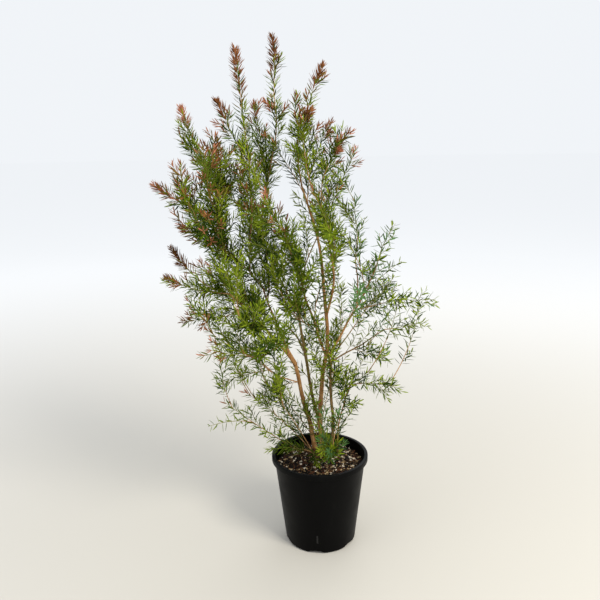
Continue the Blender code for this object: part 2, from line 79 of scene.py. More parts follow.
# pot
POT_HEIGHT = 227.0
RIM_RADIUS = 120.0
WALL_RADIUS_TOP = 113.0
BASE_RADIUS = 88.5
WALL = 2.6
FLOOR = 3.0
FOOT_CORNER = 6.0
LIP_HEIGHT = 12.5
LIP_SHELL = 2.4
LIP_ROUND = 1.2
LIP_ROUND_STEPS = 6
LIP_UNDER_ROUND = 0.6
LIP_UNDER_STEPS = 4
FOOT_CORNER_STEPS = 10
WALL_LEVELS = (60.0, 140.0, 190.0)
POT_SHARP_ANGLE = 38.0
INSIDE_CORNER = 4.0
POT_SIDES = 168
SLOT_COUNT = 6
SLOT_WIDTH = 50.0
SLOT_HEIGHT = 8.0
SLOT_DEPTH = 12.0
SLOT_SIDES = 180
SLOT_FIRST_BEARING = -97.0
RIB_WIDTH = 4.0
RIB_HEIGHT = 22.0
RIB_PROUD = 0.8
RIB_ROUND = 0.5
RIB_ROUND_STEPS = 3
RIB_FOOT = 31.0
RIB_BEARING = -95.0

# soil
SOIL_TOP = 204.0
SOIL_EDGE = 199.0
SOIL_PLATEAU = 64.0
SOIL_PLATEAU_AT = (6.0, 28.0)
SOIL_LUMPS = 1.6
SOIL_LUMP_SIZE = 9.0
SOIL_FINE_LUMPS = 0.4
SOIL_FINE_LUMP_SIZE = 3.0
SOIL_FINE_LAYER = 9.0
SOIL_SIDES = 150
SOIL_RINGS = 46
SOIL_GAP = 0.7
CHIPS = 1500
CHIP_LENGTH = (4.0, 17.0)
CHIP_USUAL_LENGTH = 6.0
CHIP_SHORTEST = 2.5
CHIP_WIDTH = (3.0, 8.0)
CHIP_THICKNESS = (1.0, 2.6)
CHIP_TILT = 24.0
CHIP_LIFT = (0.1, 1.6)
CHIP_FROM_EDGE = 2.5
CHIP_EDGE_GAP = 1.0
CHIP_NARROWING = (0.45, 1.0)
CHIP_SLANT = (-0.25, 0.25)
CHIP_RAGGED = (-0.1, 0.1)
CHIP_TOP_WIDTH = (0.6, 0.95)
CHIP_UNEVEN = (0.6, 1.2)
CHIP_MIX = {"chips_dark": 14, "chips_red": 7, "chips_brown": 5, "chips_tan": 4}
GRAINS = 150
GRAIN_SIZE = (2.0, 6.6)
GRAIN_WIDTH = (0.6, 1.0)
GRAIN_THICKNESS = (0.5, 0.9)
GRAIN_LIFT = 0.8

# root crown
CROWN_AT = (-3.0, 37.0)
CROWN_HALF = (28.0, 19.0, 17.0)
CROWN_CENTRE_LEVEL = 206.0
CROWN_SUBDIVISIONS = 5
CROWN_LUMPS = ((0.17, 1.9), (0.07, 5.0), (0.03, 13.0))
CROWN_LEVEL = 222.0
FOOT_GAP = 0.5

# limbs
LINE_STEPS = 32
LIMB_WANDER = 0.010
WANDER_WAVES = (9.0, 7.0)
WANDER_PHASE = 1.7
BARK_SIDES = 16
BARK_RING_EVERY = 2.6
BARK_FISSURE = 0.085
BARK_GRAIN_LENGTH = 9.0
BARK_GRAIN_WIDTH = 1.5
NODE_EVERY = 17.0
NODE_SWELL = 0.16
NODE_LENGTH = 1.9
NODE_ALL_ROUND = 0.35
BARK_LUMPS = 0.10
BARK_LUMP_LENGTH = 26.0
BARK_LUMPS_ROUND = 0.8
BARK_SHIFT = 3.7
STEM_FLARE = 0.35
STEM_FLARE_LENGTH = 9.0
FORK_FLARE = 0.40
FORK_FLARE_LENGTH = 6.0
TOP_FORK_FLARE = 0.1

# shoots
SHOOT_TIP_RADIUS = 0.45
SHOOT_RADIUS_PER_LENGTH = 0.0036
SHOOT_SIDES = 6
SHOOT_RING_EVERY = 7.0
SHOOT_FEWEST_RINGS = 3
SHOOT_SWAY = 0.012
TUBE_SLANT = (0.31, 0.87, 0.38)
BASAL_BARE = 0.22
BASAL_DEPTH = 2.0
LEADER_BARE = 0.06
TIP_BARE = 0.12
SIDE_BARE = 0.15
NEAR_TOP = 0.8
CROWN_SHOOTS_LEAVE = ((-14.0, 26.0, 204.0), (-17.0, 22.0, 216.0))
YOUNG_LENGTH = 85.0
NEW_ON_SIDE = 18.0
NEW_FROM_SHARE = 0.45
NEW_SPREAD = (0.3, 1.3)
LEAF_REACH = 15.0
SIDE_SHOOT_SHARE = 330.0
SIDE_ANGLES = (30.0, 50.0)
SIDE_FIRST_ANGLE = 62.0
SIDE_LIFT = 0.10
SIDE_SHORTEST = 30.0
SIDE_LONGEST = 115.0
SIDE_FIRST_SHARE = 0.10
SIDE_SHARE_SPAN = 0.76
SIDE_JITTER = (0.2, 0.8)
SIDE_TURN_JITTER = (-0.4, 0.4)
SIDE_FADE = 0.35
SIDE_INTO_LEAVES = 0.35
SIDE_SPREAD = (0.8, 1.25)
SIDE_BOWED_AT = 0.45
SIDE_SLANT = (0.3, 0.9, 0.2)
CLEAR_ABOVE_POT = 8.0
CLEAR_ROUND_POT = 15.0
BRANCH_ANGLE = 34.0
BRANCH_ANGLE_SPREAD = 12.0
BRANCH_LENGTH = 110.0
BRANCH_SHARES = np.linspace(0.04, 0.96, 47)
PARENT_WAY = 0.4

# leaves
LEAF_LENGTH = (22.0, 28.0)
LEAF_WIDTH = (2.6, 3.3)
LEAF_SPACING = 1.28
LEAF_ANGLE_OLD = 52.0
LEAF_ANGLE_TIP = 24.0
LEAF_ANGLE_SPREAD = 3.5
LEAF_OPENS_WITH_GAP = 11.0
LEAF_WIDENS_WITH_GAP = 0.17
LEAF_CLOSEST = 1.7
LEAF_OPENS_OVER = 38.0
LEAF_OPENS_BY_POWER = 0.8
LEAF_GROWS_OVER = 28.0
LEAF_SHORTEST = 0.58
LEAF_TIP_REACH = 11.0
LEAF_TWIST = 25.0
LEAF_ARCH = 0.05
LEAF_FOLD = 0.22
LEAF_OUTLINE = ((0.20, 0.78), (0.52, 1.0), (0.80, 0.62))
LEAF_SLANT = (0.25, 0.85, 0.3)
LEAF_JITTER = 0.3
LEAF_TURN_JITTER = 0.3
LEAF_LAST = 0.995
LEAF_WIDTH_GROWN = 0.3
LEAF_FOOT_DEPTH = 0.8
LEAVES_FEWEST = 6
LEAF_MOST = 15500
LONG_TIP = 30.0
RUSTY_TIP = 48.0
NEW_LEAF_EVERY = 0.95
NEW_LEAF_LENGTH = 0.92
LEAF_CLEARANCE = 1.0
LEAF_CLEAR_STEPS = 6

# A row's side and lift say how far its line bows, at right angles to its bearing and rise. Foot and tip are
# radii, girth is how far leaves reach round a row's own shoot, new is the length of new growth at its tip,
# and every is the distance from leaf to leaf, before LEAF_SPACING stretches it.
Stem = namedtuple("Stem", "name across back level bearing rise length side lift foot tip")
Bough = namedtuple("Bough", "name parent share bearing rise length side lift foot tip")
Mass = namedtuple("Mass", "name parent share bearing rise length side lift girth colour new every")
Basal = namedtuple("Basal", "name across back bearing rise length side lift girth colour new every")
Tip = namedtuple("Tip", "parent across down depth girth colour new every share", defaults=(None,))
Fill = namedtuple("Fill", "left right top bottom shoots colour new every")
Shoot = namedtuple("Shoot", "line foot tip bare colour new every")

STEMS = [
    Stem("stem_left", -12, 38, "crown", 201, 78, 245, -4, 2, 5.8, 4.6),
    Stem("stem_centre", 6, 35, "crown", 326, 86, 265, -2, 12, 5.6, 5.0),
    Stem("stem_back", 22, 60, "soil", 155, 78, 390, 10, -6, 4.6, 3.0),
    Stem("stem_right", 28, 16, "soil", 258, 87, 280, 6, -2, 4.2, 2.9),
    Stem("stem_thin", 44, 20, "soil", 294, 72, 230, -2, 14, 1.9, 1.3),
]

BOUGHS = [
    Bough("bough_left_arch", "stem_left", 0.97, 210, 50, 259, 8, 6, 4.0, 2.0),
    Bough("bough_left_inner", "stem_left", 1.0, 180, 69, 205, -2, -6, 3.4, 1.8),
    Bough("bough_left_front", "bough_left_arch", 0.27, 244, 1, 104, 0, -2, 1.8, 1.1),
    Bough("bough_left_twig", "stem_left", 0.76, 213, 30, 100, -4, -4, 1.6, 1.1),
    Bough("leader", "stem_centre", 1.0, 185, 82, 405, 2, 18, 4.7, 2.0),
    Bough("bough_centre_left", "stem_centre", 0.95, 222, 69, 223, -6, 0, 3.1, 2.0),
    Bough("bough_centre_right", "leader", 0.22, 245, 77, 315, 32, 2, 3.0, 1.5),
    Bough("bough_back_rise", "stem_back", 0.90, 49, 71, 210, 12, 8, 2.0, 1.3),
    Bough("bough_right_main", "stem_right", 1.0, 344, 61, 162, 4, 0, 2.8, 1.8),
    Bough("bough_right_rise", "bough_right_main", 0.88, 101, 80, 105, -2, 4, 1.8, 1.2),
    Bough("bough_right_low", "stem_right", 0.93, 22, 24, 163, -2, 0, 2.1, 1.2),
    Bough("bough_right_back", "stem_centre", 0.80, 58, 25, 155, -2, 2, 2.0, 1.3),
    Bough("bough_left_back", "stem_back", 0.66, 134, 28, 160, -16, 12, 2.2, 1.3),
]

MASSES = [
    Mass("foliage_left_body", "bough_left_inner", 1.0, 221, 47, 180, 2, -2, 44, "green", 12, 1.8),
    Mass("foliage_left_low", "bough_left_arch", 1.0, 187, 18, 155, 6, -8, 27, "green", 34, 1.8),
    Mass("foliage_left_lower", "bough_left_arch", 0.80, 184, -8, 160, 6, -12, 29, "green", 24, 2.1),
    Mass("foliage_left_sweep", "foliage_left_body", 0.55, 225, 33, 190, 12, 0, 34, "green", 24, 1.8),
    Mass("foliage_left_back", "bough_left_back", 1.0, 182, 37, 260, -8, 6, 35, "dark", 20, 1.8),
    Mass("foliage_left_under", "bough_left_front", 1.0, 209, 18, 135, 6, 0, 33, "green", 22, 2.1),
    Mass("foliage_left_twigs", "bough_left_twig", 1.0, 197, -12, 135, 0, 6, 33, "green", 0, 2.8),
    Mass("foliage_centre_low", "bough_left_arch", 0.52, 251, 26, 155, 6, -16, 38, "green", 0, 2.0),
    Mass("foliage_centre_body", "bough_left_inner", 0.80, 103, 68, 160, -10, -6, 44, "dark", 0, 1.7),
    Mass("foliage_crown_left", "foliage_left_body", 0.85, 180, 81, 190, 6, 4, 36, "green", 18, 1.7),
    Mass("foliage_crown_mid", "foliage_left_body", 0.30, 282, 76, 275, 2, -14, 42, "green", 16, 1.7),
    Mass("foliage_crown_front", "bough_centre_left", 1.0, 241, 55, 255, 4, 0, 36, "green", 26, 1.7),
    Mass("foliage_crown_back", "foliage_centre_body", 0.80, 134, 62, 230, 0, -10, 42, "dark", 20, 1.7),
    Mass("foliage_crown_column", "foliage_centre_body", 0.90, 307, 76, 195, -6, 10, 28, "green", 0, 1.7),
    Mass("foliage_fan_outer", "foliage_crown_left", 0.35, 186, 28, 165, -4, -14, 24, "copper", 44, 1.6),
    Mass("foliage_fan_left", "foliage_crown_left", 0.75, 160, 67, 180, 6, -2, 24, "copper", 40, 1.6),
    Mass("foliage_fan_copper", "foliage_left_sweep", 0.55, 251, 61, 200, -8, -12, 25, "copper", 30, 1.6),
    Mass("foliage_fan_front", "foliage_crown_left", 0.20, 268, 52, 240, -8, 0, 28, "green", 28, 1.6),
    Mass("foliage_fan_back", "foliage_crown_back", 0.45, 144, 43, 225, 4, -20, 28, "green", 26, 1.6),
    Mass("foliage_fan_high", "foliage_crown_mid", 0.86, 206, 66, 175, 4, 2, 25, "copper", 46, 1.6),
    Mass("foliage_tall_left", "foliage_crown_mid", 0.98, 129, 80, 240, -2, -4, 21, "copper", 95, 1.6),
    Mass("foliage_upper_left", "foliage_crown_column", 0.70, 119, 73, 215, -2, 0, 26, "copper", 34, 1.6),
    Mass("foliage_top", "foliage_crown_column", 0.85, 299, 84, 315, 10, -10, 20, "copper", 72, 1.6),
    Mass("foliage_top_centre", "leader", 1.0, 261, 77, 215, -4, -4, 24, "green", 30, 1.5),
    Mass("foliage_top_right", "bough_centre_right", 1.0, 44, 81, 275, 22, 20, 22, "copper", 50, 1.6),
    Mass("foliage_upper_right", "leader", 0.90, 51, 62, 220, 10, 10, 27, "green", 28, 1.6),
    Mass("foliage_right_shoulder", "bough_centre_right", 0.85, 341, 68, 190, -6, 20, 28, "green", 30, 1.6),
    Mass("foliage_centre_front", "bough_centre_right", 0.42, 258, 50, 200, 16, -12, 34, "bright", 0, 1.9),
    Mass("foliage_centre_back", "bough_back_rise", 1.0, 12, 75, 185, 4, -6, 36, "dark", 12, 1.9),
    Mass("foliage_right_edge", "foliage_centre_back", 0.70, 326, 57, 135, -8, -18, 24, "copper", 28, 1.7),
    Mass("foliage_right_column", "bough_right_rise", 1.0, 101, 82, 155, -6, -2, 30, "bluish", 8, 2.8),
    Mass("foliage_right_blue", "bough_right_main", 1.0, 320, 65, 215, -6, -4, 30, "bluish", 0, 3.3),
    Mass("foliage_right_tip", "bough_right_main", 0.80, 338, 12, 205, -4, 10, 32, "dark", 0, 3.1),
    Mass("foliage_right_low", "bough_right_low", 1.0, 21, 5, 120, 2, -4, 31, "green", 0, 3.1),
    Mass("foliage_right_back", "bough_right_back", 1.0, 31, 40, 185, 6, 2, 36, "dark", 0, 2.7),
    Mass("foliage_right_mid", "bough_right_low", 0.42, 31, -21, 115, 2, -2, 34, "dark", 0, 2.9),
    Mass("foliage_right_under", "stem_thin", 1.0, 340, 2, 130, -4, 12, 34, "dark", 0, 2.8),
]

BASALS = [
    Basal("foliage_foot_left", -40, 42, 201, 41, 280, -12, -6, 18, "green", 14, 2.8),
    Basal("foliage_foot_front", 24, 0, 275, 46, 125, 0, -4, 26, "bluish", 0, 1.4),
]

# Further shoots, each by the pixel at which its tip shows in the photograph and by how far back it lies.
# A last number is the share of its parent's line at which it leaves, which is chosen where none is given.
TIPS = [
    Tip("foliage_top", 264, 98, 50, 20, "copper", 32, 1.6),
    Tip("foliage_upper_left", 257, 127, 80, 20, "green", 20, 1.7),
    Tip("foliage_top", 287, 103, 0, 18, "green", 22, 1.7),
    Tip("foliage_top", 284, 114, 30, 18, "green", 0, 1.7),
    Tip("foliage_top_centre", 313, 106, -50, 20, "copper", 34, 1.6),
    Tip("foliage_top_right", 321, 120, 15, 20, "green", 30, 1.6),
    Tip("foliage_upper_right", 335, 129, 80, 20, "copper", 28, 1.6),
    Tip("foliage_right_shoulder", 341, 147, -70, 20, "copper", 32, 1.7),
    Tip("foliage_right_shoulder", 344, 136, -20, 18, "green", 26, 1.7),
    Tip("foliage_fan_high", 211, 120, -80, 18, "copper", 28, 1.6),
    Tip("foliage_crown_left", 219, 138, -60, 20, "green", 30, 1.6),
    Tip("foliage_crown_left", 218, 152, -90, 20, "green", 24, 1.7),
    Tip("foliage_left_body", 222, 170, -60, 22, "green", 22, 1.7),
    Tip("leader", 262, 130, -30, 20, "green", 12, 1.7, 0.94),
    Tip("foliage_crown_column", 262, 150, 70, 20, "dark", 0, 1.7),
    Tip("foliage_crown_mid", 251, 150, -40, 20, "green", 26, 1.7),
    Tip("foliage_crown_mid", 236, 140, -60, 20, "green", 22, 1.7),
    Tip("foliage_left_sweep", 174, 176, -150, 20, "copper", 30, 1.6),
    Tip("foliage_fan_left", 190, 158, -40, 18, "green", 24, 1.7),
    Tip("foliage_fan_outer", 190, 172, -80, 18, "green", 26, 1.7),
    Tip("foliage_left_sweep", 189, 183, -110, 20, "green", 26, 1.7),
    Tip("foliage_left_sweep", 170, 207, -120, 20, "copper", 30, 1.7),
    Tip("foliage_left_sweep", 177, 228, -90, 18, "green", 26, 1.7),
    Tip("foliage_left_body", 190, 240, -90, 18, "dark", 14, 1.9),
    Tip("foliage_left_body", 203, 258, -30, 16, "dark", 0, 2.2),
    Tip("foliage_left_body", 205, 212, -190, 20, "copper", 26, 1.6),
    Tip("foliage_left_low", 168, 245, -60, 20, "copper", 60, 1.6),
    Tip("foliage_left_low", 168, 288, -90, 18, "green", 18, 1.9),
    Tip("bough_left_arch", 181, 283, -40, 19, "green", 0, 2.0),
    Tip("foliage_left_lower", 183, 311, -70, 18, "green", 20, 2.1),
    Tip("foliage_left_under", 203, 327, -120, 18, "green", 14, 2.1),
    Tip("foliage_centre_low", 214, 318, -140, 18, "green", 0, 2.0),
    Tip("foliage_foot_left", 204, 427, -60, 16, "green", 0, 3.8),
    Tip("foliage_foot_left", 247, 402, 30, 18, "green", 0, 2.9),
    Tip("bough_left_twig", 252, 398, -10, 18, "green", 0, 2.8),
    Tip("stem_left", 262, 380, 70, 18, "dark", 0, 2.3),
    Tip("foliage_right_blue", 376, 252, -30, 18, "bluish", 0, 3.0),
    Tip("foliage_right_blue", 405, 258, 10, 20, "bluish", 0, 3.2),
    Tip("foliage_right_tip", 398, 272, -30, 17, "green", 0, 3.3),
    Tip("foliage_right_low", 410, 331, 60, 18, "green", 0, 3.2),
    Tip("foliage_right_tip", 405, 298, -100, 18, "green", 0, 3.0),
    Tip("foliage_right_mid", 376, 341, 20, 18, "green", 0, 3.0),
    Tip("foliage_right_mid", 393, 366, 70, 18, "green", 0, 3.0),
    Tip("foliage_right_under", 397, 377, -60, 18, "green", 0, 2.9),
    Tip("foliage_right_under", 392, 404, -100, 18, "green", 0, 3.0),
    Tip("stem_thin", 375, 368, -70, 20, "dark", 0, 2.6),
    Tip("stem_thin", 362, 401, -80, 18, "green", 0, 2.6),
    Tip("stem_right", 341, 371, -30, 18, "dark", 0, 2.1),
    Tip("stem_thin", 343, 394, -70, 16, "dark", 0, 2.2),
    Tip("foliage_centre_front", 328, 232, -190, 22, "green", 0, 1.8),
    Tip("bough_centre_left", 289, 316, -50, 18, "bluish", 0, 2.0),
    Tip("foliage_right_column", 364, 236, -20, 18, "bluish", 0, 2.2),
    Tip("root_crown", 262, 378, -20, 16, "green", 0, 2.0, 1.0),
    Tip("root_crown", 240, 388, 30, 16, "green", 14, 2.2, 1.0),
    Tip("root_crown", 263, 450, -12, 16, "bright", 0, 1.3, 1.0),
    Tip("root_crown", 318, 466, -62, 16, "green", 0, 1.5, 1.0),
    Tip("root_crown", 280, 441, 40, 16, "dark", 0, 2.0, 0.8),
    Tip("stem_centre", 288, 392, 0, 16, "green", 0, 2.4, 0.02),
    Tip("foliage_foot_front", 321, 433, -72, 20, "bluish", 0, 1.1, 0.62),
    Tip("foliage_foot_front", 341, 438, -74, 20, "bluish", 0, 1.1, 0.62),
    Tip("foliage_foot_front", 333, 447, -88, 20, "bluish", 0, 1.0, 0.55),
    Tip("foliage_foot_front", 322, 444, -84, 20, "green", 0, 1.1, 0.55),
]

# How many more shoots end in each part of the photograph, its edges given in pixels.
FILLS = [
    Fill(178, 200, 110, 170, 3, "green", 22, 1.8),
    Fill(204, 236, 128, 178, 7, "green", 18, 1.8),
    Fill(236, 266, 118, 178, 9, "green", 14, 1.8),
    Fill(282, 304, 100, 165, 6, "green", 14, 1.8),
    Fill(302, 346, 125, 200, 13, "green", 16, 2.0),
    Fill(222, 244, 140, 225, 8, "green", 10, 1.8),
    Fill(165, 200, 175, 235, 4, "green", 22, 1.8),
    Fill(195, 240, 170, 245, 7, "green", 8, 1.9),
    Fill(238, 270, 175, 245, 9, "dark", 0, 1.9),
    Fill(272, 302, 210, 262, 9, "green", 0, 2.0),
    Fill(286, 312, 182, 238, 7, "green", 0, 2.3),
    Fill(300, 348, 200, 268, 15, "green", 0, 2.3),
    Fill(190, 300, 240, 300, 44, "green", 0, 1.9),
    Fill(180, 215, 272, 330, 6, "green", 14, 2.1),
    Fill(212, 292, 298, 348, 31, "green", 0, 2.1),
    Fill(222, 292, 345, 398, 12, "green", 0, 2.3),
    Fill(292, 346, 262, 335, 26, "green", 0, 2.7),
    Fill(346, 400, 240, 305, 8, "bluish", 0, 3.2),
    Fill(360, 428, 292, 330, 4, "green", 0, 3.2),
    Fill(336, 378, 308, 362, 4, "green", 0, 3.0),
    Fill(340, 404, 352, 408, 3, "green", 0, 3.0),
    Fill(292, 342, 330, 425, 15, "green", 0, 2.7),
    Fill(324, 346, 368, 422, 7, "dark", 0, 2.4),
    Fill(250, 298, 382, 436, 2, "green", 0, 2.6),
]
FILL_NEAR = 9.0
FILL_DEPTH = 60.0
FILL_SHORTEST = 38.0
FILL_LONGEST = 190.0
FILL_USUAL = 75.0
FILL_ANGLE_SPREAD = 16.0
FILL_STEEPNESS = 1.3
FILL_ASIDE = 3.0
FILL_ASIDE_FROM = 0.3
FILL_SHARES = np.linspace(0.12, 0.97, 30)
FILL_BARE = 0.22
FILL_GIRTH = 18.0
CROWN_FRONT = -203.0
CROWN_BACK = 236.0

# Kinds of leaf by shoot colour, with how often each is dealt to a shoot.
LEAF_MIX = {
    "green": (("green", 6), ("deep", 4), ("fresh", 3)),
    # Bright shoots stand at the front where the light falls most: their fresh and pale leaves are partly the
    # young leaves' own paler green and partly painted light.
    "bright": (("fresh", 6), ("green", 4), ("pale", 1)),
    # Dark shoots sit in the crown's back, inner and lower parts: their mostly deep leaves are painted shade
    # there. Elsewhere deep leaves are a darker tone dealt at random.
    "dark": (("deep", 7), ("green", 3), ("blue", 1)),
    "bluish": (("blue", 7), ("green", 3), ("deep", 1)),
    "copper": (("green", 6), ("deep", 3), ("fresh", 2)),
}
NEW_LEAF_MIX = (("copper", 5), ("rust", 5), ("blush", 2))
HIGH_NEW_LEAF_MIX = (("copper", 6), ("rust", 1), ("blush", 5))
LONG_NEW_LEAF_MIX = (("copper", 3), ("rust", 7))
NEW_SHORTEST = 8
NEW_UP_TO = 1.1
NEW_CHANCE = 1.15
NEW_FADES = 0.55
OLIVE_UP_TO = 1.35
OLIVE_CHANCE = 0.8
FRESH_TIP = 16.0
SECOND_KIND = 0.34

LEAF_KINDS = {
    # Deep leaves: a darker tone dealt at random, and painted shade where dark shoots bear them.
    "deep": ((0.026, 0.052, 0.004), "foliage_dark"),
    "green": ((0.092, 0.142, 0.008), "foliage_green"),
    "fresh": ((0.190, 0.250, 0.014), "foliage_bright"),
    # Pale leaves go only to bright shoots, as painted light.
    "pale": ((0.330, 0.360, 0.050), "foliage_bright"),
    "blue": ((0.080, 0.165, 0.050), "foliage_bluish"),
    "olive": ((0.150, 0.115, 0.016), "foliage_copper"),
    "copper": ((0.240, 0.092, 0.034), "foliage_copper"),
    "rust": ((0.135, 0.052, 0.018), "foliage_copper"),
    "blush": ((0.380, 0.155, 0.085), "foliage_copper"),
}


def view_directions():
    """The photographed view's forward, rightward and upward directions."""
    flat = math.cos(EYE_PITCHED_DOWN)
    forward = np.array((
        -math.sin(EYE_TURNED_LEFT) * flat,
        math.cos(EYE_TURNED_LEFT) * flat,
        -math.sin(EYE_PITCHED_DOWN),
    ))
    level = np.array((math.cos(EYE_TURNED_LEFT), math.sin(EYE_TURNED_LEFT), 0.0))
    upright = np.cross(level, forward)
    right = level * math.cos(EYE_ROLLED) - upright * math.sin(EYE_ROLLED)
    up = level * math.sin(EYE_ROLLED) + upright * math.cos(EYE_ROLLED)
    return forward, right, up


def place_in_view(across, down, depth):
    """The point at a depth (its Y, in metres) that shows at a pixel of the photograph."""
    forward, right, up = view_directions()
    middle = PHOTO_PIXELS / 2
    focal = LENS / SENSOR * PHOTO_PIXELS
    ray = forward * focal + right * (across - middle) - up * (down - middle)
    return EYE + ray * (depth - EYE[1]) / ray[1]


def unit(vectors):
    return vectors / np.linalg.norm(vectors, axis=-1, keepdims=True)


def heading(bearing, rise):
    """The direction of a limb, and its sideways and upward directions at right angles to it."""
    turn = math.radians(bearing)
    climb = math.radians(rise)
    ahead = np.array((math.cos(climb) * math.cos(turn), math.cos(climb) * math.sin(turn), math.sin(climb)))
    side = np.array((-math.sin(turn), math.cos(turn), 0.0))
    return ahead, side, np.cross(ahead, side)


class Line:
    """A centre line bowed towards a middle point, in metres."""

    def __init__(self, start, middle, end):
        share = np.linspace(0.0, 1.0, LINE_STEPS + 1)[:, None]
        self.points = start * (1 - share) ** 2 + middle * 2 * share * (1 - share) + end * share ** 2

    @property
    def length(self):
        return np.linalg.norm(np.diff(self.points, axis=0), axis=1).sum()

    def sway(self, side, lift, amount, phases):
        """Adds a slight wave that fades at both ends."""
        share = np.linspace(0.0, 1.0, LINE_STEPS + 1)[:, None]
        wave = amount * np.sin(math.pi * share) ** 2
        sideways = side * np.sin(WANDER_WAVES[0] * share + phases[0])
        self.points = self.points + wave * (sideways + lift * np.sin(WANDER_WAVES[1] * share + phases[1]))

    def at(self, shares):
        place = np.clip(shares, 0.0, 1.0) * LINE_STEPS
        index = np.minimum(place.astype(int), LINE_STEPS - 1)
        part = (place - index)[:, None]
        return self.points[index] * (1 - part) + self.points[index + 1] * part

    def ways(self, shares):
        step = 0.5 / LINE_STEPS
        return unit(self.at(shares + step) - self.at(shares - step))

    def shortened(self, by):
        """The same line without its last stretch."""
        share = 1 - by / self.length
        ended = Line(self.points[0], self.points[0], self.points[-1])
        ended.points = self.at(np.linspace(0.0, share, LINE_STEPS + 1))
        return ended

    def point(self, share):
        return self.at(np.array([share]))[0]

    def way(self, share):
        return self.ways(np.array([share]))[0]


def row_line(start, row):
    ahead, side, lift = heading(row.bearing, row.rise)
    end = start + ahead * row.length * MM
    middle = (start + end) / 2 + 2 * MM * (side * row.side + lift * row.lift)
    return Line(start, middle, end)


def limb_lines():
    """Centre lines of the stems and boughs, the same as the part's."""
    lines = {}
    for row in STEMS + BOUGHS:
        if row in STEMS:
            level = CROWN_LEVEL if row.level == "crown" else SOIL_TOP
            start = np.array((row.across, row.back, level + FOOT_GAP)) * MM
        else:
            start = lines[row.parent].point(row.share)
        _, side, lift = heading(row.bearing, row.rise)
        phase = WANDER_PHASE * len(lines)
        lines[row.name] = row_line(start, row)
        lines[row.name].sway(side, lift, LIMB_WANDER * row.length * MM, (phase, phase))
    return lines


def slim_radius(reach):
    """The radius in millimetres of a shoot's foot, from how far it reaches."""
    return SHOOT_TIP_RADIUS + SHOOT_RADIUS_PER_LENGTH * reach


def chain_reach():
    """How far each mass's shoot reaches, its longest chain of further shoots included, in millimetres."""
    reach = {row.name: row.length for row in MASSES}
    for row in reversed(MASSES):
        if row.parent in reach:
            parent = next(other for other in MASSES if other.name == row.parent)
            reach[row.parent] = max(reach[row.parent], parent.length * row.share + reach[row.name])
    return reach


def radius_at(limb, share):
    """A limb's or shoot's radius, which narrows evenly from its foot to its tip."""
    return limb.tip + (limb.foot - limb.tip) * (1 - share)


def slim_shoot(line, reach, bare, row, new):
    """A shoot whose foot is as thick as its reach, in millimetres, asks for."""
    foot = slim_radius(reach) * MM
    return Shoot(line, foot, SHOOT_TIP_RADIUS * MM, bare, row.colour, new, row.every)


def parting_line(start, parent_way, ahead, length, end):
    """The line of a shoot that sets out partly in its parent's direction."""
    middle = start + (PARENT_WAY * parent_way + (1 - PARENT_WAY) * ahead) * length / 2
    return Line(start, middle, end)


def degrees_between(directions, others):
    return np.degrees(np.arccos(np.clip((directions * others).sum(axis=1), -1.0, 1.0)))


def grow_leaders(limbs, rng):
    """The leading shoot of every mass of foliage, and the basal shoots."""
    rows = {row.name: row for row in STEMS + BOUGHS}
    reach = chain_reach()
    leaders = {}
    for row in MASSES:
        if row.parent in limbs:
            start = limbs[row.parent].point(row.share)
            thickest = radius_at(rows[row.parent], row.share)
        else:
            parent = leaders[row.parent]
            start = parent.line.point(row.share)
            thickest = radius_at(parent, row.share) / MM
        foot = thickest if row.share >= 1.0 else min(slim_radius(reach[row.name]), thickest)
        children = [child for child in MASSES if child.parent == row.name and child.share > NEAR_TOP]
        tip = max([slim_radius(reach[child.name]) for child in children], default=SHOOT_TIP_RADIUS)
        line = row_line(start, row)
        _, side, lift = heading(row.bearing, row.rise)
        phases = (rng.uniform(0, math.tau), rng.uniform(0, math.tau))
        line.sway(side, lift, SHOOT_SWAY * line.length, phases)
        bare = 0.0 if row.parent in leaders else LEADER_BARE
        leaders[row.name] = Shoot(line, foot * MM, min(tip, foot) * MM, bare, row.colour, row.new, row.every)
    for row in BASALS:
        start = np.array((row.across, row.back, SOIL_TOP - BASAL_DEPTH)) * MM
        leaders[row.name] = slim_shoot(row_line(start, row), row.length, BASAL_BARE, row, row.new)
    return leaders


def branch_share(line, tip):
    """Where a shoot leaves its parent so that it reaches its tip at a natural angle and no great length."""
    gaps = tip - line.at(BRANCH_SHARES)
    lengths = np.linalg.norm(gaps, axis=1)
    angles = degrees_between(unit(gaps), line.ways(BRANCH_SHARES))
    cost = np.abs(angles - BRANCH_ANGLE) / BRANCH_ANGLE_SPREAD + lengths / (BRANCH_LENGTH * MM)
    return BRANCH_SHARES[np.argmin(cost)]


def grow_tips(limbs, leaders):
    """The further shoots of the photograph, each from a limb, a leading shoot or the root crown."""
    crown = [np.array(place) * MM for place in CROWN_SHOOTS_LEAVE]
    parents = {name: leader.line for name, leader in leaders.items()}
    parents.update(limbs, root_crown=Line(crown[0], (crown[0] + crown[1]) / 2, crown[1]))
    found = []
    for row in TIPS:
        parent = parents[row.parent]
        tip = place_in_view(row.across, row.down, row.depth * MM)
        share = row.share or branch_share(parent, tip)
        start = parent.point(share)
        gap = tip - start
        length = np.linalg.norm(gap)
        end = tip - unit(gap) * LEAF_TIP_REACH * MM
        line = parting_line(start, parent.way(share), unit(gap), length, end)
        bare = BASAL_BARE if row.parent == "root_crown" else TIP_BARE
        found.append((slim_shoot(line, length / MM, bare, row, row.new), row.girth))
    return found


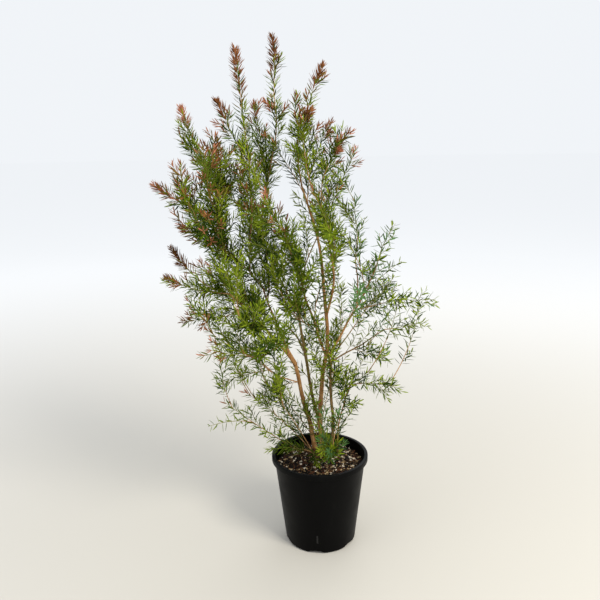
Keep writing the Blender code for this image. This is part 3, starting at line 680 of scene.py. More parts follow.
def side_shoots(parent, girth, rng):
    """Shoots dealt round a parent by the golden angle, long enough to fill its girth."""
    reach = girth - LEAF_REACH
    line = parent.line
    length = line.length / MM
    count = round(length * reach / SIDE_SHOOT_SHARE)
    found = []
    if count < 1:
        return found
    ref = unit(np.cross(line.way(0.5), SIDE_SLANT))
    first = math.radians(SIDE_FIRST_ANGLE)
    start_turn = rng.uniform(0, math.tau)
    for number in range(count):
        share = SIDE_FIRST_SHARE + SIDE_SHARE_SPAN * (number + rng.uniform(*SIDE_JITTER)) / count
        ahead = line.way(share)
        across = unit(ref - ahead * ref.dot(ahead))
        over = np.cross(ahead, across)
        turn = start_turn + GOLDEN_TURN * number + rng.uniform(*SIDE_TURN_JITTER)
        out = across * math.cos(turn) + over * math.sin(turn)
        angle = math.radians(rng.uniform(*SIDE_ANGLES))
        fade = 1.0 - SIDE_FADE * share
        spread = rng.uniform(*SIDE_SPREAD)
        long = (reach + SIDE_INTO_LEAVES * LEAF_REACH) / math.sin(angle) * fade * spread
        long = min(max(long, SIDE_SHORTEST), SIDE_LONGEST) * MM
        start = line.point(share)
        end = start + (ahead * math.cos(angle) + out * math.sin(angle) + UP * SIDE_LIFT) * long
        middle = start + (ahead * math.cos(first) + out * math.sin(first)) * long * SIDE_BOWED_AT
        new = min(parent.new, NEW_ON_SIDE) * rng.uniform(*NEW_SPREAD) if share > NEW_FROM_SHARE else 0.0
        in_new_growth = (1 - share) * length < parent.new
        low = end[2] < (POT_HEIGHT + CLEAR_ABOVE_POT) * MM
        at_pot = low and math.hypot(end[0], end[1]) < (RIM_RADIUS + CLEAR_ROUND_POT) * MM
        in_crown = CROWN_FRONT * MM < end[1] < CROWN_BACK * MM
        if in_crown and not in_new_growth and not at_pot:
            found.append(slim_shoot(Line(start, middle, end), long / MM, SIDE_BARE, parent, new))
    return found


def seen_at(points):
    """The photograph's pixels at which points show."""
    forward, right, up = view_directions()
    gaps = points - EYE
    focal = LENS / SENSOR * PHOTO_PIXELS / (gaps @ forward)
    middle = PHOTO_PIXELS / 2
    return np.stack((middle + focal * (gaps @ right), middle - focal * (gaps @ up)), axis=1)


def fill_costs(tip, points, ways):
    """How unnatural a shoot to a tip would be from each point of the wood, and how long."""
    gaps = tip - points
    lengths = np.linalg.norm(gaps, axis=1) / MM
    angles = degrees_between(unit(gaps), ways)
    costs = np.abs(angles - BRANCH_ANGLE) / FILL_ANGLE_SPREAD
    costs = costs + np.abs(lengths - FILL_USUAL) / FILL_USUAL
    rises = gaps[:, 2] / (lengths * MM)
    comes = -gaps[:, 1] / (lengths * MM)
    costs = costs + FILL_STEEPNESS * (1 - rises) + FILL_ASIDE * np.clip(comes - FILL_ASIDE_FROM, 0.0, 1.0)
    costs[(lengths < FILL_SHORTEST) | (lengths > FILL_LONGEST)] = np.inf
    return costs, lengths


def fill_shoots(lines, rng):
    """Shoots that end in each part of the crown, each from the wood that reaches it most naturally."""
    points = np.vstack([line.at(FILL_SHARES) for line in lines])
    ways = np.vstack([line.ways(FILL_SHARES) for line in lines])
    across, down = seen_at(points).T
    found = []
    for row in FILLS:
        beside = (across > row.left - FILL_NEAR) & (across < row.right + FILL_NEAR)
        level = (down > row.top - FILL_NEAR) & (down < row.bottom + FILL_NEAR)
        depths = points[beside & level, 1]
        for _ in range(row.shoots):
            depth = rng.choice(depths) + rng.uniform(-FILL_DEPTH, FILL_DEPTH) * MM
            depth = min(max(depth, CROWN_FRONT * MM), CROWN_BACK * MM)
            tip = place_in_view(rng.uniform(row.left, row.right), rng.uniform(row.top, row.bottom), depth)
            costs, lengths = fill_costs(tip, points, ways)
            best = int(np.argmin(costs))
            if not np.isfinite(costs[best]):
                continue
            gap = tip - points[best]
            ahead = gap / np.linalg.norm(gap)
            line = parting_line(points[best], ways[best], ahead, lengths[best] * MM, tip)
            new = row.new * rng.uniform(*NEW_SPREAD)
            found.append(slim_shoot(line, lengths[best], FILL_BARE, row, new))
    return found


def grow_shoots(limbs):
    rng = random.Random(SEED)
    leaders = grow_leaders(limbs, rng)
    girths = {row.name: row.girth for row in MASSES + BASALS}
    last_child = {row.name: 0.0 for row in MASSES + BASALS}
    for row in MASSES:
        if row.parent in last_child:
            last_child[row.parent] = max(last_child[row.parent], row.share)
    shoots = []
    for name, leader in leaders.items():
        ends_at = 1 - LEAF_TIP_REACH * MM / leader.line.length
        if last_child[name] < ends_at:
            leader = leader._replace(line=leader.line.shortened(LEAF_TIP_REACH * MM))
        shoots.append(leader)
    tips = grow_tips(limbs, leaders)
    for name, leader in leaders.items():
        shoots += side_shoots(leader, girths[name], rng)
    for shoot, girth in tips:
        shoots.append(shoot)
        shoots += side_shoots(shoot, girth, rng)
    lines = list(limbs.values()) + [leader.line for leader in leaders.values()]
    lines += [shoot.line for shoot, _ in tips]
    for shoot in fill_shoots(lines, rng):
        shoots.append(shoot)
        shoots += side_shoots(shoot, FILL_GIRTH, rng)
    return shoots


def dealt(mix, rng):
    names = [name for name, _ in mix]
    return rng.choices(names, [weight for _, weight in mix])[0]


def leaf_rows(shoot, rng, draw):
    """Foot, direction, upper side, length, width and kind of each leaf along a shoot."""
    length = shoot.line.length / MM
    leafy = length * (1 - shoot.bare)
    count = max(int(leafy / shoot.every / LEAF_SPACING), LEAVES_FEWEST)
    steps = (np.arange(count) + draw.uniform(-LEAF_JITTER, LEAF_JITTER, count)) / count
    shares = shoot.bare + (1 - shoot.bare) * np.clip(steps, 0.0, LEAF_LAST)
    if shoot.new > LONG_TIP:
        more = int(shoot.new / NEW_LEAF_EVERY)
        new_share = min(shoot.new / length, 1 - shoot.bare)
        shares = np.concatenate((shares, 1 - new_share * draw.uniform(0.0, 1.0, more)))
        count += more
    from_tip = (1 - shares) * length
    ahead = shoot.line.ways(shares)
    ref = unit(np.cross(shoot.line.way(0.5), LEAF_SLANT))
    across = unit(ref - ahead * (ahead @ ref)[:, None])
    over = np.cross(ahead, across)
    jitter = draw.uniform(-LEAF_TURN_JITTER, LEAF_TURN_JITTER, count)
    turns = GOLDEN_TURN * np.arange(count) + jitter + rng.uniform(0, math.tau)
    out = across * np.cos(turns)[:, None] + over * np.sin(turns)[:, None]
    opened = np.clip(from_tip / LEAF_OPENS_OVER, 0.0, 1.0) ** LEAF_OPENS_BY_POWER
    gap = max(shoot.every - LEAF_CLOSEST, 0.0)
    angle = LEAF_ANGLE_TIP + LEAF_OPENS_WITH_GAP * gap + (LEAF_ANGLE_OLD - LEAF_ANGLE_TIP) * opened
    angle = np.radians(angle + draw.normal(0.0, LEAF_ANGLE_SPREAD, count))[:, None]
    direction = ahead * np.cos(angle) + out * np.sin(angle)
    upper = unit(ahead - direction * (ahead * direction).sum(axis=1)[:, None])
    sideways = np.cross(direction, upper)
    twist = np.radians(draw.uniform(-LEAF_TWIST, LEAF_TWIST, count))[:, None]
    upper = upper * np.cos(twist) + sideways * np.sin(twist)
    grown = LEAF_SHORTEST + (1 - LEAF_SHORTEST) * np.clip(from_tip / LEAF_GROWS_OVER, 0.0, 1.0)
    if shoot.new > LONG_TIP:
        close = from_tip < shoot.new
        grown = np.where(close, np.minimum(grown, NEW_LEAF_LENGTH), grown)
    long = draw.uniform(*LEAF_LENGTH, count) * grown * MM
    widened = 1 + LEAF_WIDENS_WITH_GAP * gap
    wide = draw.uniform(*LEAF_WIDTH, count) * (1 - LEAF_WIDTH_GROWN + LEAF_WIDTH_GROWN * grown) * widened * MM
    foot = shoot.line.at(shares) + out * radius_at(shoot, shares)[:, None] * LEAF_FOOT_DEPTH
    body = dealt(LEAF_MIX[shoot.colour], rng)
    kinds = np.full(count, body, dtype=object)
    kinds[draw.uniform(0.0, 1.0, count) < SECOND_KIND] = dealt(LEAF_MIX[shoot.colour], rng)
    if shoot.new > NEW_SHORTEST:
        usual = HIGH_NEW_LEAF_MIX if shoot.colour == "copper" else NEW_LEAF_MIX
        mix = LONG_NEW_LEAF_MIX if shoot.new > RUSTY_TIP else usual
        new = np.where(draw.uniform(0.0, 1.0, count) < SECOND_KIND, dealt(mix, rng), dealt(mix, rng))
        depth = from_tip / shoot.new
        chance = draw.uniform(0.0, 1.0, count)
        kinds[(depth < OLIVE_UP_TO) & (chance < OLIVE_CHANCE)] = "olive"
        kinds = np.where((depth < NEW_UP_TO) & (chance < NEW_CHANCE - NEW_FADES * depth), new, kinds)
    elif body in ("green", "deep"):
        kinds[from_tip < FRESH_TIP] = "fresh"
    free = clear_of_pot(foot, direction, long)
    return tuple(part[free] for part in (foot, direction, upper, long, wide, kinds))


def clear_of_pot(foot, direction, long):
    """Which leaves keep their midribs clear of the pot's wall and of the soil in it."""
    free = np.full(len(foot), True)
    for share in np.linspace(0.0, 1.0, LEAF_CLEAR_STEPS):
        points = (foot + direction * (share * long)[:, None]) / MM
        reach = np.hypot(points[:, 0], points[:, 1])
        level = points[:, 2]
        inner = BASE_RADIUS + (WALL_RADIUS_TOP - BASE_RADIUS) * level / POT_HEIGHT - WALL
        over_wall = (reach > inner) & (reach < RIM_RADIUS + LEAF_CLEARANCE)
        free &= ~((level < POT_HEIGHT + LEAF_CLEARANCE) & over_wall)
        free &= ~((reach < inner) & (level < SOIL_TOP + LEAF_CLEARANCE))
    return free


def leaf_template():
    """A narrow pointed blade folded a little along its midrib: shares of length, width and arch."""
    points = [(0.0, 0.0, 0.0)]
    for along, width in LEAF_OUTLINE:
        bow = 4 * along * (1 - along)
        for side in (-1, 0, 1):
            points.append((along, side * width / 2, bow))
    points.append((1.0, 0.0, 0.0))
    faces = [(0, 2, 1), (0, 3, 2)]
    for row in range(len(LEAF_OUTLINE) - 1):
        low = 1 + 3 * row
        for k in (0, 1):
            faces += [(low + k, low + k + 1, low + k + 4), (low + k, low + k + 4, low + k + 3)]
    last = 1 + 3 * (len(LEAF_OUTLINE) - 1)
    tip = last + 3
    faces += [(last, last + 1, tip), (last + 1, last + 2, tip)]
    return np.array(points), np.array(faces)


def leaf_mesh(foot, direction, upper, long, wide):
    """Points and triangles of many leaves at once."""
    template, faces = leaf_template()
    sideways = np.cross(direction, upper)
    along = template[None, :, 0, None] * long[:, None, None] * direction[:, None, :]
    across = template[None, :, 1, None] * wide[:, None, None] * sideways[:, None, :]
    fold = np.abs(template[None, :, 1, None]) * wide[:, None, None] * LEAF_FOLD * 2
    arch = -template[None, :, 2, None] * long[:, None, None] * LEAF_ARCH
    points = foot[:, None, :] + along + across + (fold + arch) * upper[:, None, :]
    step = np.arange(len(foot))[:, None, None] * len(template)
    return points.reshape(-1, 3), (faces[None] + step).reshape(-1, 3)


def carried_frames(ways):
    """Directions across each place of a line, carried along so that the surface does not twist."""
    across = np.cross(ways[0], TUBE_SLANT)
    found = []
    for way in ways:
        across = across - way * across.dot(way)
        across = across / np.linalg.norm(across)
        found.append((across, np.cross(way, across)))
    return found


def ring_faces(count, sides):
    """Faces of a stack of rings and of a fan at each end. Both middle points follow the rings', top first."""
    index = np.arange(count * sides).reshape(count, sides)
    turned = np.roll(index, -1, 1)
    walls = np.stack((index[:-1], turned[:-1], turned[1:], index[1:]), axis=-1).reshape(-1, 4)
    top = count * sides
    fans = [(index[-1][k], turned[-1][k], top) for k in range(sides)]
    fans += [(turned[0][k], index[0][k], top + 1) for k in range(sides)]
    return walls, np.array(fans)


def tube(line, radii, shares, sides, relief=None):
    """Points and faces of a round limb, closed by a short cone at its tip and flat at its foot."""
    points = line.at(shares)
    ways = line.ways(shares)
    turns = np.arange(sides) * math.tau / sides
    rings = []
    for index, (across, over) in enumerate(carried_frames(ways)):
        spokes = np.outer(np.cos(turns), across) + np.outer(np.sin(turns), over)
        radius = np.full(sides, radii[index])
        if relief is not None:
            radius = radius * relief(turns, shares[index] * line.length / MM, radii[index] / MM)
        rings.append(points[index] + spokes * radius[:, None])
    tip = points[-1] + ways[-1] * radii[-1]
    return np.vstack((*rings, tip, points[0])), *ring_faces(len(shares), sides)


class Bundle:
    """Meshes gathered to be joined into one piece."""

    def __init__(self):
        self.points = []
        self.faces = []
        self.count = 0

    def add(self, points, *groups):
        for group in groups:
            self.faces += (np.asarray(group) + self.count).tolist()
        self.points.append(points)
        self.count += len(points)

    def make(self, name, look, slot, nodes=(), smooth=True):
        mesh = bpy.data.meshes.new(name)
        mesh.from_pydata(np.vstack(self.points).tolist(), [], self.faces)
        dress(mesh, name, look, nodes, smooth)


def mesh_of(name, made):
    """Ends the making of a mesh."""
    mesh = bpy.data.meshes.new(name)
    made.to_mesh(mesh)
    made.free()
    return mesh


def placed(name, data):
    """An object of the scene, from its mesh, its light or its lens."""
    made = bpy.data.objects.new(name, data)
    bpy.context.scene.collection.objects.link(made)
    return made


def dress(mesh, name, look, nodes=(), smooth=True):
    """Makes a piece of the object from a mesh."""
    mesh.materials.append(look)
    if smooth:
        mesh.shade_smooth()
    made = placed(name, mesh)
    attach(made, "root")
    if nodes:
        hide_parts(*nodes)


def bark_relief(offset):
    """Long fissures, low lumps, and a swollen ring at each old leaf scar."""
    def relief(turns, distance, radius):
        grain = np.array([
            noise.noise(Vector((
                radius * math.cos(turn) / BARK_GRAIN_WIDTH + offset,
                radius * math.sin(turn) / BARK_GRAIN_WIDTH,
                distance / BARK_GRAIN_LENGTH,
            )))
            for turn in turns
        ])
        lumps = np.array([
            noise.noise(Vector((
                math.cos(turn) * BARK_LUMPS_ROUND + offset,
                math.sin(turn) * BARK_LUMPS_ROUND,
                distance / BARK_LUMP_LENGTH,
            )))
            for turn in turns
        ])
        number = round(distance / NODE_EVERY)
        scar = GOLDEN_TURN * number + offset
        away = (distance - number * NODE_EVERY) / NODE_LENGTH
        facing = np.clip(np.cos(turns - scar), 0.0, 1.0) ** 2
        swell = NODE_SWELL * math.exp(-away * away) * (NODE_ALL_ROUND + (1 - NODE_ALL_ROUND) * facing)
        return 1 + BARK_FISSURE * grain + BARK_LUMPS * lumps + swell
    return relief


def make_bark(limbs):
    """The stems and boughs with the relief of their bark, replacing the plain limbs."""
    bundles = {piece: Bundle() for piece in BARK_LOOKS}
    nodes = {piece: [] for piece in BARK_LOOKS}
    for number, row in enumerate(STEMS + BOUGHS):
        line = limbs[row.name]
        count = int(line.length / MM / BARK_RING_EVERY)
        shares = np.linspace(0.0, 1.0, count + 1)
        flare, fade = (STEM_FLARE, STEM_FLARE_LENGTH) if row in STEMS else (FORK_FLARE, FORK_FLARE_LENGTH)
        if row in BOUGHS and row.share >= 1.0:
            flare = TOP_FORK_FLARE
        radii = radius_at(row, shares) * (1 + flare * np.exp(-shares * line.length / MM / fade)) * MM
        piece = "stems_olive" if "back" in row.name else "stems_tan"
        if row.name in DULL_LIMBS:
            piece = "stems_dull"
        bundles[piece].add(*tube(line, radii, shares, BARK_SIDES, bark_relief(BARK_SHIFT * number)))
        nodes[piece].append(row.name)
    for piece, (look, tones, slot) in BARK_LOOKS.items():
        bundles[piece].make(piece, finished_look(look, tones, BARK), slot, nodes[piece])


def make_root_crown():
    """The low, lumpy stump that two stems share."""
    stump = bmesh.new()
    bmesh.ops.create_icosphere(stump, subdivisions=CROWN_SUBDIVISIONS, radius=1.0)
    for vert in stump.verts:
        way = vert.co.copy()
        lumps = sum(height * noise.noise(way * fineness) for height, fineness in CROWN_LUMPS)
        vert.co = Vector([way[k] * CROWN_HALF[k] * (1 + lumps) * MM for k in range(3)])
        vert.co += Vector((*CROWN_AT, CROWN_CENTRE_LEVEL)) * MM
    look = finished_look("bark_stump", STUMP_TONES, BARK)
    dress(mesh_of("root_stump", stump), "root_stump", look, ["root_crown"])


def make_twigs(shoots):
    """The shoots' own wood: brown where old, green and reddish where young."""
    old = Bundle()
    young = Bundle()
    for shoot in shoots:
        length = shoot.line.length / MM
        count = max(int(length / SHOOT_RING_EVERY), SHOOT_FEWEST_RINGS)
        shares = np.linspace(0.0, 1.0, count + 1)
        radii = radius_at(shoot, shares)
        turning = 1 - YOUNG_LENGTH / length
        split = int(round(turning * count)) if turning > 0 else 0
        if split > 0:
            old.add(*tube(shoot.line, radii[:split + 1], shares[:split + 1], SHOOT_SIDES))
        if split < count:
            young.add(*tube(shoot.line, radii[split:], shares[split:], SHOOT_SIDES))
    old.make("twigs_brown", finished_look("twig_bark", TWIG_TONES, BARK), "bark")
    young.make("twigs_green", finished_look("young_bark", YOUNG_TONES, BARK), "bark_olive")


def make_leaves(shoots):
    """Every kind of leaf, each joined apart from the others."""
    rng = random.Random(SEED + 1)
    draw = np.random.default_rng(SEED)
    rows = [leaf_rows(shoot, rng, draw) for shoot in shoots]
    foot, direction, upper, long, wide, kinds = (np.concatenate(part) for part in zip(*rows))
    waiting = {}
    for row in MASSES + BASALS:
        waiting.setdefault("foliage_" + row.colour, []).append(row.name)
    for kind, (colour, slot) in LEAF_KINDS.items():
        chosen = np.nonzero(kinds == kind)[0]
        nodes = waiting.pop(slot, [])
        for number, start in enumerate(range(0, len(chosen), LEAF_MOST)):
            some = chosen[start:start + LEAF_MOST]
            bundle = Bundle()
            bundle.add(*leaf_mesh(foot[some], direction[some], upper[some], long[some], wide[some]))
            name = f"leaves_{kind}_{number + 1}"
            bundle.make(name, leaf_look(kind, colour), slot, nodes if number == 0 else (), smooth=False)


def wall_outside(height):
    rise = (height - FOOT_CORNER) / (POT_HEIGHT - LIP_HEIGHT - FOOT_CORNER)
    return BASE_RADIUS + (WALL_RADIUS_TOP - BASE_RADIUS) * rise


def wall_inside(height):
    return wall_outside(height) - WALL


def quarter(centre, radius, start, steps):
    """Points of a quarter circle, clockwise from the start angle in degrees."""
    found = []
    for step in range(steps + 1):
        turn = math.radians(start - 90.0 * step / steps)
        found.append((centre[0] + radius * math.cos(turn), centre[1] + radius * math.sin(turn)))
    return found


def turned_mesh(name, profile, sides):
    """A closed mesh turned about the Z axis, from a profile that starts and ends on the axis."""
    turned = bmesh.new()
    turns = [math.tau * k / sides for k in range(sides)]
    rings = []
    for radius, height in profile:
        if radius == 0.0:
            rings.append([turned.verts.new((0.0, 0.0, height * MM))])
            continue
        places = [(radius * math.cos(t) * MM, radius * math.sin(t) * MM, height * MM) for t in turns]
        rings.append([turned.verts.new(place) for place in places])
    for low, high in zip(rings, rings[1:]):
        for k in range(sides):
            corners = [low[k % len(low)], low[(k + 1) % len(low)]]
            corners += [high[(k + 1) % len(high)], high[k % len(high)]]
            turned.faces.new(list(dict.fromkeys(corners)))
    bmesh.ops.recalc_face_normals(turned, faces=turned.faces)
    return mesh_of(name, turned)


def slot_cutters():
    """Lying cylinders whose tops cut a row of shallow arches round the pot's foot."""
    arch = (SLOT_WIDTH ** 2 / 4 + SLOT_HEIGHT ** 2) / (2 * SLOT_HEIGHT)
    cutters = bmesh.new()
    for number in range(SLOT_COUNT):
        bearing = math.radians(SLOT_FIRST_BEARING + 360.0 * number / SLOT_COUNT)
        place = (
            Matrix.Rotation(bearing, 4, "Z")
            @ Matrix.Translation(Vector((BASE_RADIUS, 0.0, SLOT_HEIGHT - arch)) * MM)
            @ Matrix.Rotation(math.radians(90.0), 4, "Y")
        )
        bmesh.ops.create_cone(
            cutters, cap_ends=True, segments=SLOT_SIDES, radius1=arch * MM, radius2=arch * MM,
            depth=2 * SLOT_DEPTH * MM, matrix=place,
        )
    return placed("slot_cutters", mesh_of("slot_cutters", cutters))


def make_rib():
    """A small upright rib on the wall's front, just above the foot, coloured a little paler than the wall: a
    painted highlight where the rib catches the light.
    """
    rib = bmesh.new()
    middle = RIB_FOOT + RIB_HEIGHT / 2
    lean = math.atan2(WALL_RADIUS_TOP - BASE_RADIUS, POT_HEIGHT - LIP_HEIGHT - FOOT_CORNER)
    place = (
        Matrix.Rotation(math.radians(RIB_BEARING), 4, "Z")
        @ Matrix.Translation(Vector((wall_outside(middle), 0.0, middle)) * MM)
        @ Matrix.Rotation(lean, 4, "Y")
        @ Matrix.Diagonal((2 * RIB_PROUD * MM, RIB_WIDTH * MM, RIB_HEIGHT * MM, 1.0))
    )
    bmesh.ops.create_cube(rib, size=1.0, matrix=place)
    bmesh.ops.bevel(
        rib, geom=rib.edges[:], offset=RIB_ROUND * MM, segments=RIB_ROUND_STEPS, affect="EDGES", profile=0.5,
    )
    look = finished_look("painted_highlight_black_plastic", RIB_HIGHLIGHT_TONES, PLASTIC)
    dress(mesh_of("pot_rib", rib), "pot_rib", look)


def make_pot():
    """The thin tapered wall with its rolled lip, and drainage slots cut round the foot."""
    lip_foot = POT_HEIGHT - LIP_HEIGHT
    lip_inside = RIM_RADIUS - LIP_SHELL
    round_level = POT_HEIGHT - LIP_ROUND
    under = LIP_UNDER_ROUND
    profile = [(0.0, FLOOR), (wall_inside(FLOOR) - INSIDE_CORNER, FLOOR)]
    profile += [(wall_inside(height), height) for height in (FLOOR + INSIDE_CORNER, *WALL_LEVELS)]
    inner_round = (wall_inside(POT_HEIGHT) + LIP_ROUND, round_level)
    profile += quarter(inner_round, LIP_ROUND, 180.0, LIP_ROUND_STEPS)
    profile += quarter((RIM_RADIUS - LIP_ROUND, round_level), LIP_ROUND, 90.0, LIP_ROUND_STEPS)
    profile += quarter((RIM_RADIUS - under, lip_foot + under), under, 0.0, LIP_UNDER_STEPS)
    profile += quarter((lip_inside + under, lip_foot + under), under, 270.0, LIP_UNDER_STEPS)
    profile += [(lip_inside, POT_HEIGHT - LIP_SHELL)]
    profile += [(wall_outside(height), height) for height in (POT_HEIGHT - LIP_SHELL, *reversed(WALL_LEVELS))]
    profile += quarter((BASE_RADIUS - FOOT_CORNER, FOOT_CORNER), FOOT_CORNER, 0.0, FOOT_CORNER_STEPS)
    profile += [(0.0, 0.0)]
    blank = placed("pot_blank", turned_mesh("pot_blank", profile, POT_SIDES))
    cutters = slot_cutters()
    step = blank.modifiers.new("slots", "BOOLEAN")
    step.operation = "DIFFERENCE"
    step.solver = "EXACT"
    step.object = cutters
    graph = bpy.context.evaluated_depsgraph_get()
    mesh = bpy.data.meshes.new_from_object(blank.evaluated_get(graph))
    for helper in (blank, cutters):
        bpy.data.objects.remove(helper, do_unlink=True)
    mesh.materials.clear()
    look = finished_look("satin_black_plastic", POT_TONES, PLASTIC)
    dress(mesh, "pot_shell", look, ["pot"])
    mesh.set_sharp_from_angle(angle=math.radians(POT_SHARP_ANGLE))


def soil_height(x, y):
    """The soil is level round the stems, falls towards the pot's wall, and is lumpy all over."""
    from_plateau = math.hypot(x - SOIL_PLATEAU_AT[0], y - SOIL_PLATEAU_AT[1]) - SOIL_PLATEAU
    fall = min(max(from_plateau, 0.0) / (WALL_RADIUS_TOP - SOIL_PLATEAU), 1.0)
    coarse = noise.noise(Vector((x, y, 0.0)) / SOIL_LUMP_SIZE)
    fine = noise.noise(Vector((x, y, SOIL_FINE_LAYER)) / SOIL_FINE_LUMP_SIZE)
    lumps = coarse + SOIL_FINE_LUMPS * fine
    return SOIL_TOP - (SOIL_TOP - SOIL_EDGE) * fall + SOIL_LUMPS * lumps


def make_soil():
    """The potting mix: a lumpy closed body, a gap inside the pot's wall."""
    low = FLOOR + SOIL_GAP
    edge = wall_inside(SOIL_EDGE) - SOIL_GAP
    levels = [
        (wall_inside(FLOOR) - INSIDE_CORNER - SOIL_GAP, low),
        (wall_inside(low + INSIDE_CORNER) - SOIL_GAP, low + INSIDE_CORNER),
        (wall_inside(SOIL_EDGE / 2) - SOIL_GAP, SOIL_EDGE / 2),
    ]
    turns = [math.tau * k / SOIL_SIDES for k in range(SOIL_SIDES)]
    rings = [[(radius * math.cos(t), radius * math.sin(t), level) for t in turns] for radius, level in levels]
    for ring in range(SOIL_RINGS):
        reach = edge * (1 - ring / SOIL_RINGS)
        flat = [(reach * math.cos(t), reach * math.sin(t)) for t in turns]
        rings.append([(x, y, soil_height(x, y)) for x, y in flat])
    points = np.array(rings).reshape(-1, 3) * MM
    ends = np.array(((0.0, 0.0, soil_height(0.0, 0.0)), (0.0, 0.0, low))) * MM
    bundle = Bundle()
    bundle.add(np.vstack((points, ends)), *ring_faces(len(rings), SOIL_SIDES))
    bundle.make("soil_bed", finished_look("soil_crumb", SOIL_TONES, SOIL), "potting_mix", ["soil"])


def chip_mesh(rng, length, width, thickness):
    """A flat angular chip, tapered and chipped at random."""
    points = []
    for end in (-1, 1):
        narrow = rng.uniform(*CHIP_NARROWING)
        slant = rng.uniform(*CHIP_SLANT) * length
        for side in (-1, 1):
            for face in (-1, 1):
                points.append((
                    end * length / 2 + side * slant / 2 + rng.uniform(*CHIP_RAGGED) * length,
                    side * width / 2 * narrow * (1.0 if face < 0 else rng.uniform(*CHIP_TOP_WIDTH)),
                    face * thickness / 2 * rng.uniform(*CHIP_UNEVEN),
                ))
    faces = [(0, 1, 3, 2), (4, 6, 7, 5), (0, 4, 5, 1), (2, 3, 7, 6), (0, 2, 6, 4), (1, 5, 7, 3)]
    return np.array(points), np.array(faces)


def chip_sizes(rng, grain):
    """Length, width and thickness of a pale grain or of a chip of bark."""
    if grain:
        length = rng.uniform(*GRAIN_SIZE)
        width = length * rng.uniform(*GRAIN_WIDTH)
        return length, width, width * rng.uniform(*GRAIN_THICKNESS)
    length = rng.triangular(*CHIP_LENGTH, CHIP_USUAL_LENGTH)
    width = min(rng.uniform(*CHIP_WIDTH), length)
    return length, width, rng.uniform(*CHIP_THICKNESS)


def make_chips():
    """Bark chips and pale grains lying on the soil, each tone joined apart."""
    rng = random.Random(SEED + 2)
    tones = [tone for tone, count in CHIP_MIX.items() for _ in range(count)]
    bundles = {tone: Bundle() for tone in CHIP_TONES}
    edge = wall_inside(SOIL_EDGE) - SOIL_GAP
    tilt = math.radians(CHIP_TILT)
    for number in range(CHIPS + GRAINS):
        grain = number >= CHIPS
        length, width, thickness = chip_sizes(rng, grain)
        reach = math.sqrt(rng.random()) * (edge - CHIP_FROM_EDGE)
        turn = rng.uniform(0, math.tau)
        x = reach * math.cos(turn)
        y = reach * math.sin(turn)
        length = max(min(length, 2 * (edge - reach) - CHIP_EDGE_GAP), CHIP_SHORTEST)
        points, faces = chip_mesh(rng, length, width, thickness)
        place = (
            Matrix.Rotation(rng.uniform(0, math.tau), 3, "Z")
            @ Matrix.Rotation(rng.uniform(-tilt, tilt), 3, "Y")
            @ Matrix.Rotation(rng.uniform(-tilt, tilt), 3, "X")
        )
        lift = rng.uniform(*CHIP_LIFT) + (GRAIN_LIFT if grain else 0.0)
        spot = np.array((x, y, soil_height(x, y) + lift))
        points = points @ np.array(place).T + spot
        tone = "grains_pale" if grain else rng.choice(tones)
        bundles[tone].add(points * MM, faces)
    for tone, bundle in bundles.items():
        bundle.make(tone, finished_look(tone, CHIP_TONES[tone], CHIP), "potting_mix", smooth=False)


# Tones of each material, dark to light, with the share of the pattern at which each sits.
POT_TONES = (
    (0.35, (0.0009, 0.0009, 0.0009)),
    (0.60, (0.0016, 0.0016, 0.0016)),
    (0.82, (0.0060, 0.0057, 0.0053)),
)
# The rib's tones are paler than the pot's: a painted highlight where the rib catches the light.
RIB_HIGHLIGHT_TONES = ((0.30, (0.012, 0.012, 0.012)), (0.55, (0.024, 0.024, 0.023)), (0.80, (0.040, 0.039, 0.037)))
BARK_TONES = ((0.22, (0.085, 0.036, 0.010)), (0.48, (0.310, 0.150, 0.050)), (0.74, (0.600, 0.370, 0.170)))
OLIVE_TONES = ((0.25, (0.060, 0.042, 0.010)), (0.52, (0.180, 0.125, 0.036)), (0.78, (0.360, 0.250, 0.105)))
DULL_TONES = ((0.22, (0.050, 0.027, 0.007)), (0.50, (0.160, 0.098, 0.032)), (0.78, (0.370, 0.230, 0.095)))
STUMP_TONES = ((0.25, (0.026, 0.012, 0.005)), (0.52, (0.080, 0.040, 0.016)), (0.80, (0.200, 0.120, 0.056)))
TWIG_TONES = ((0.25, (0.150, 0.070, 0.024)), (0.50, (0.340, 0.185, 0.074)), (0.78, (0.560, 0.360, 0.180)))
YOUNG_TONES = ((0.25, (0.120, 0.125, 0.020)), (0.55, (0.210, 0.200, 0.040)), (0.85, (0.300, 0.180, 0.065)))
# The soil bed shows only in the gaps between the chips, and its near-black tones are partly the mix's own
# dark colour and partly painted shade in these gaps.
SOIL_TONES = ((0.30, (0.002, 0.001, 0.001)), (0.55, (0.006, 0.003, 0.002)), (0.85, (0.022, 0.013, 0.007)))
BARK_LOOKS = {
    "stems_tan": ("bark_tan", BARK_TONES, "bark"),
    "stems_dull": ("bark_dull", DULL_TONES, "bark"),
    "stems_olive": ("bark_olive", OLIVE_TONES, "bark_olive"),
}
DULL_LIMBS = ("stem_right", "bough_right_low")
CHIP_TONES = {
    "chips_dark": ((0.3, (0.002, 0.001, 0.001)), (0.6, (0.007, 0.004, 0.002)), (0.9, (0.028, 0.016, 0.009))),
    "chips_red": ((0.3, (0.022, 0.007, 0.003)), (0.6, (0.070, 0.025, 0.010)), (0.9, (0.170, 0.075, 0.034))),
    "chips_brown": ((0.3, (0.028, 0.015, 0.006)), (0.6, (0.085, 0.050, 0.022)), (0.9, (0.210, 0.135, 0.066))),
    "chips_tan": ((0.3, (0.170, 0.115, 0.055)), (0.6, (0.330, 0.240, 0.130)), (0.9, (0.520, 0.400, 0.240))),
    "grains_pale": ((0.3, (0.420, 0.350, 0.270)), (0.6, (0.620, 0.550, 0.450)), (0.9, (0.780, 0.730, 0.650))),
}
LEAF_TONE_SHARES = (0.3, 0.5, 0.7)
LEAF_DARKER = 0.78
LEAF_LIGHTER = 1.22
ROUGH_OVER = (0.3, 0.7)

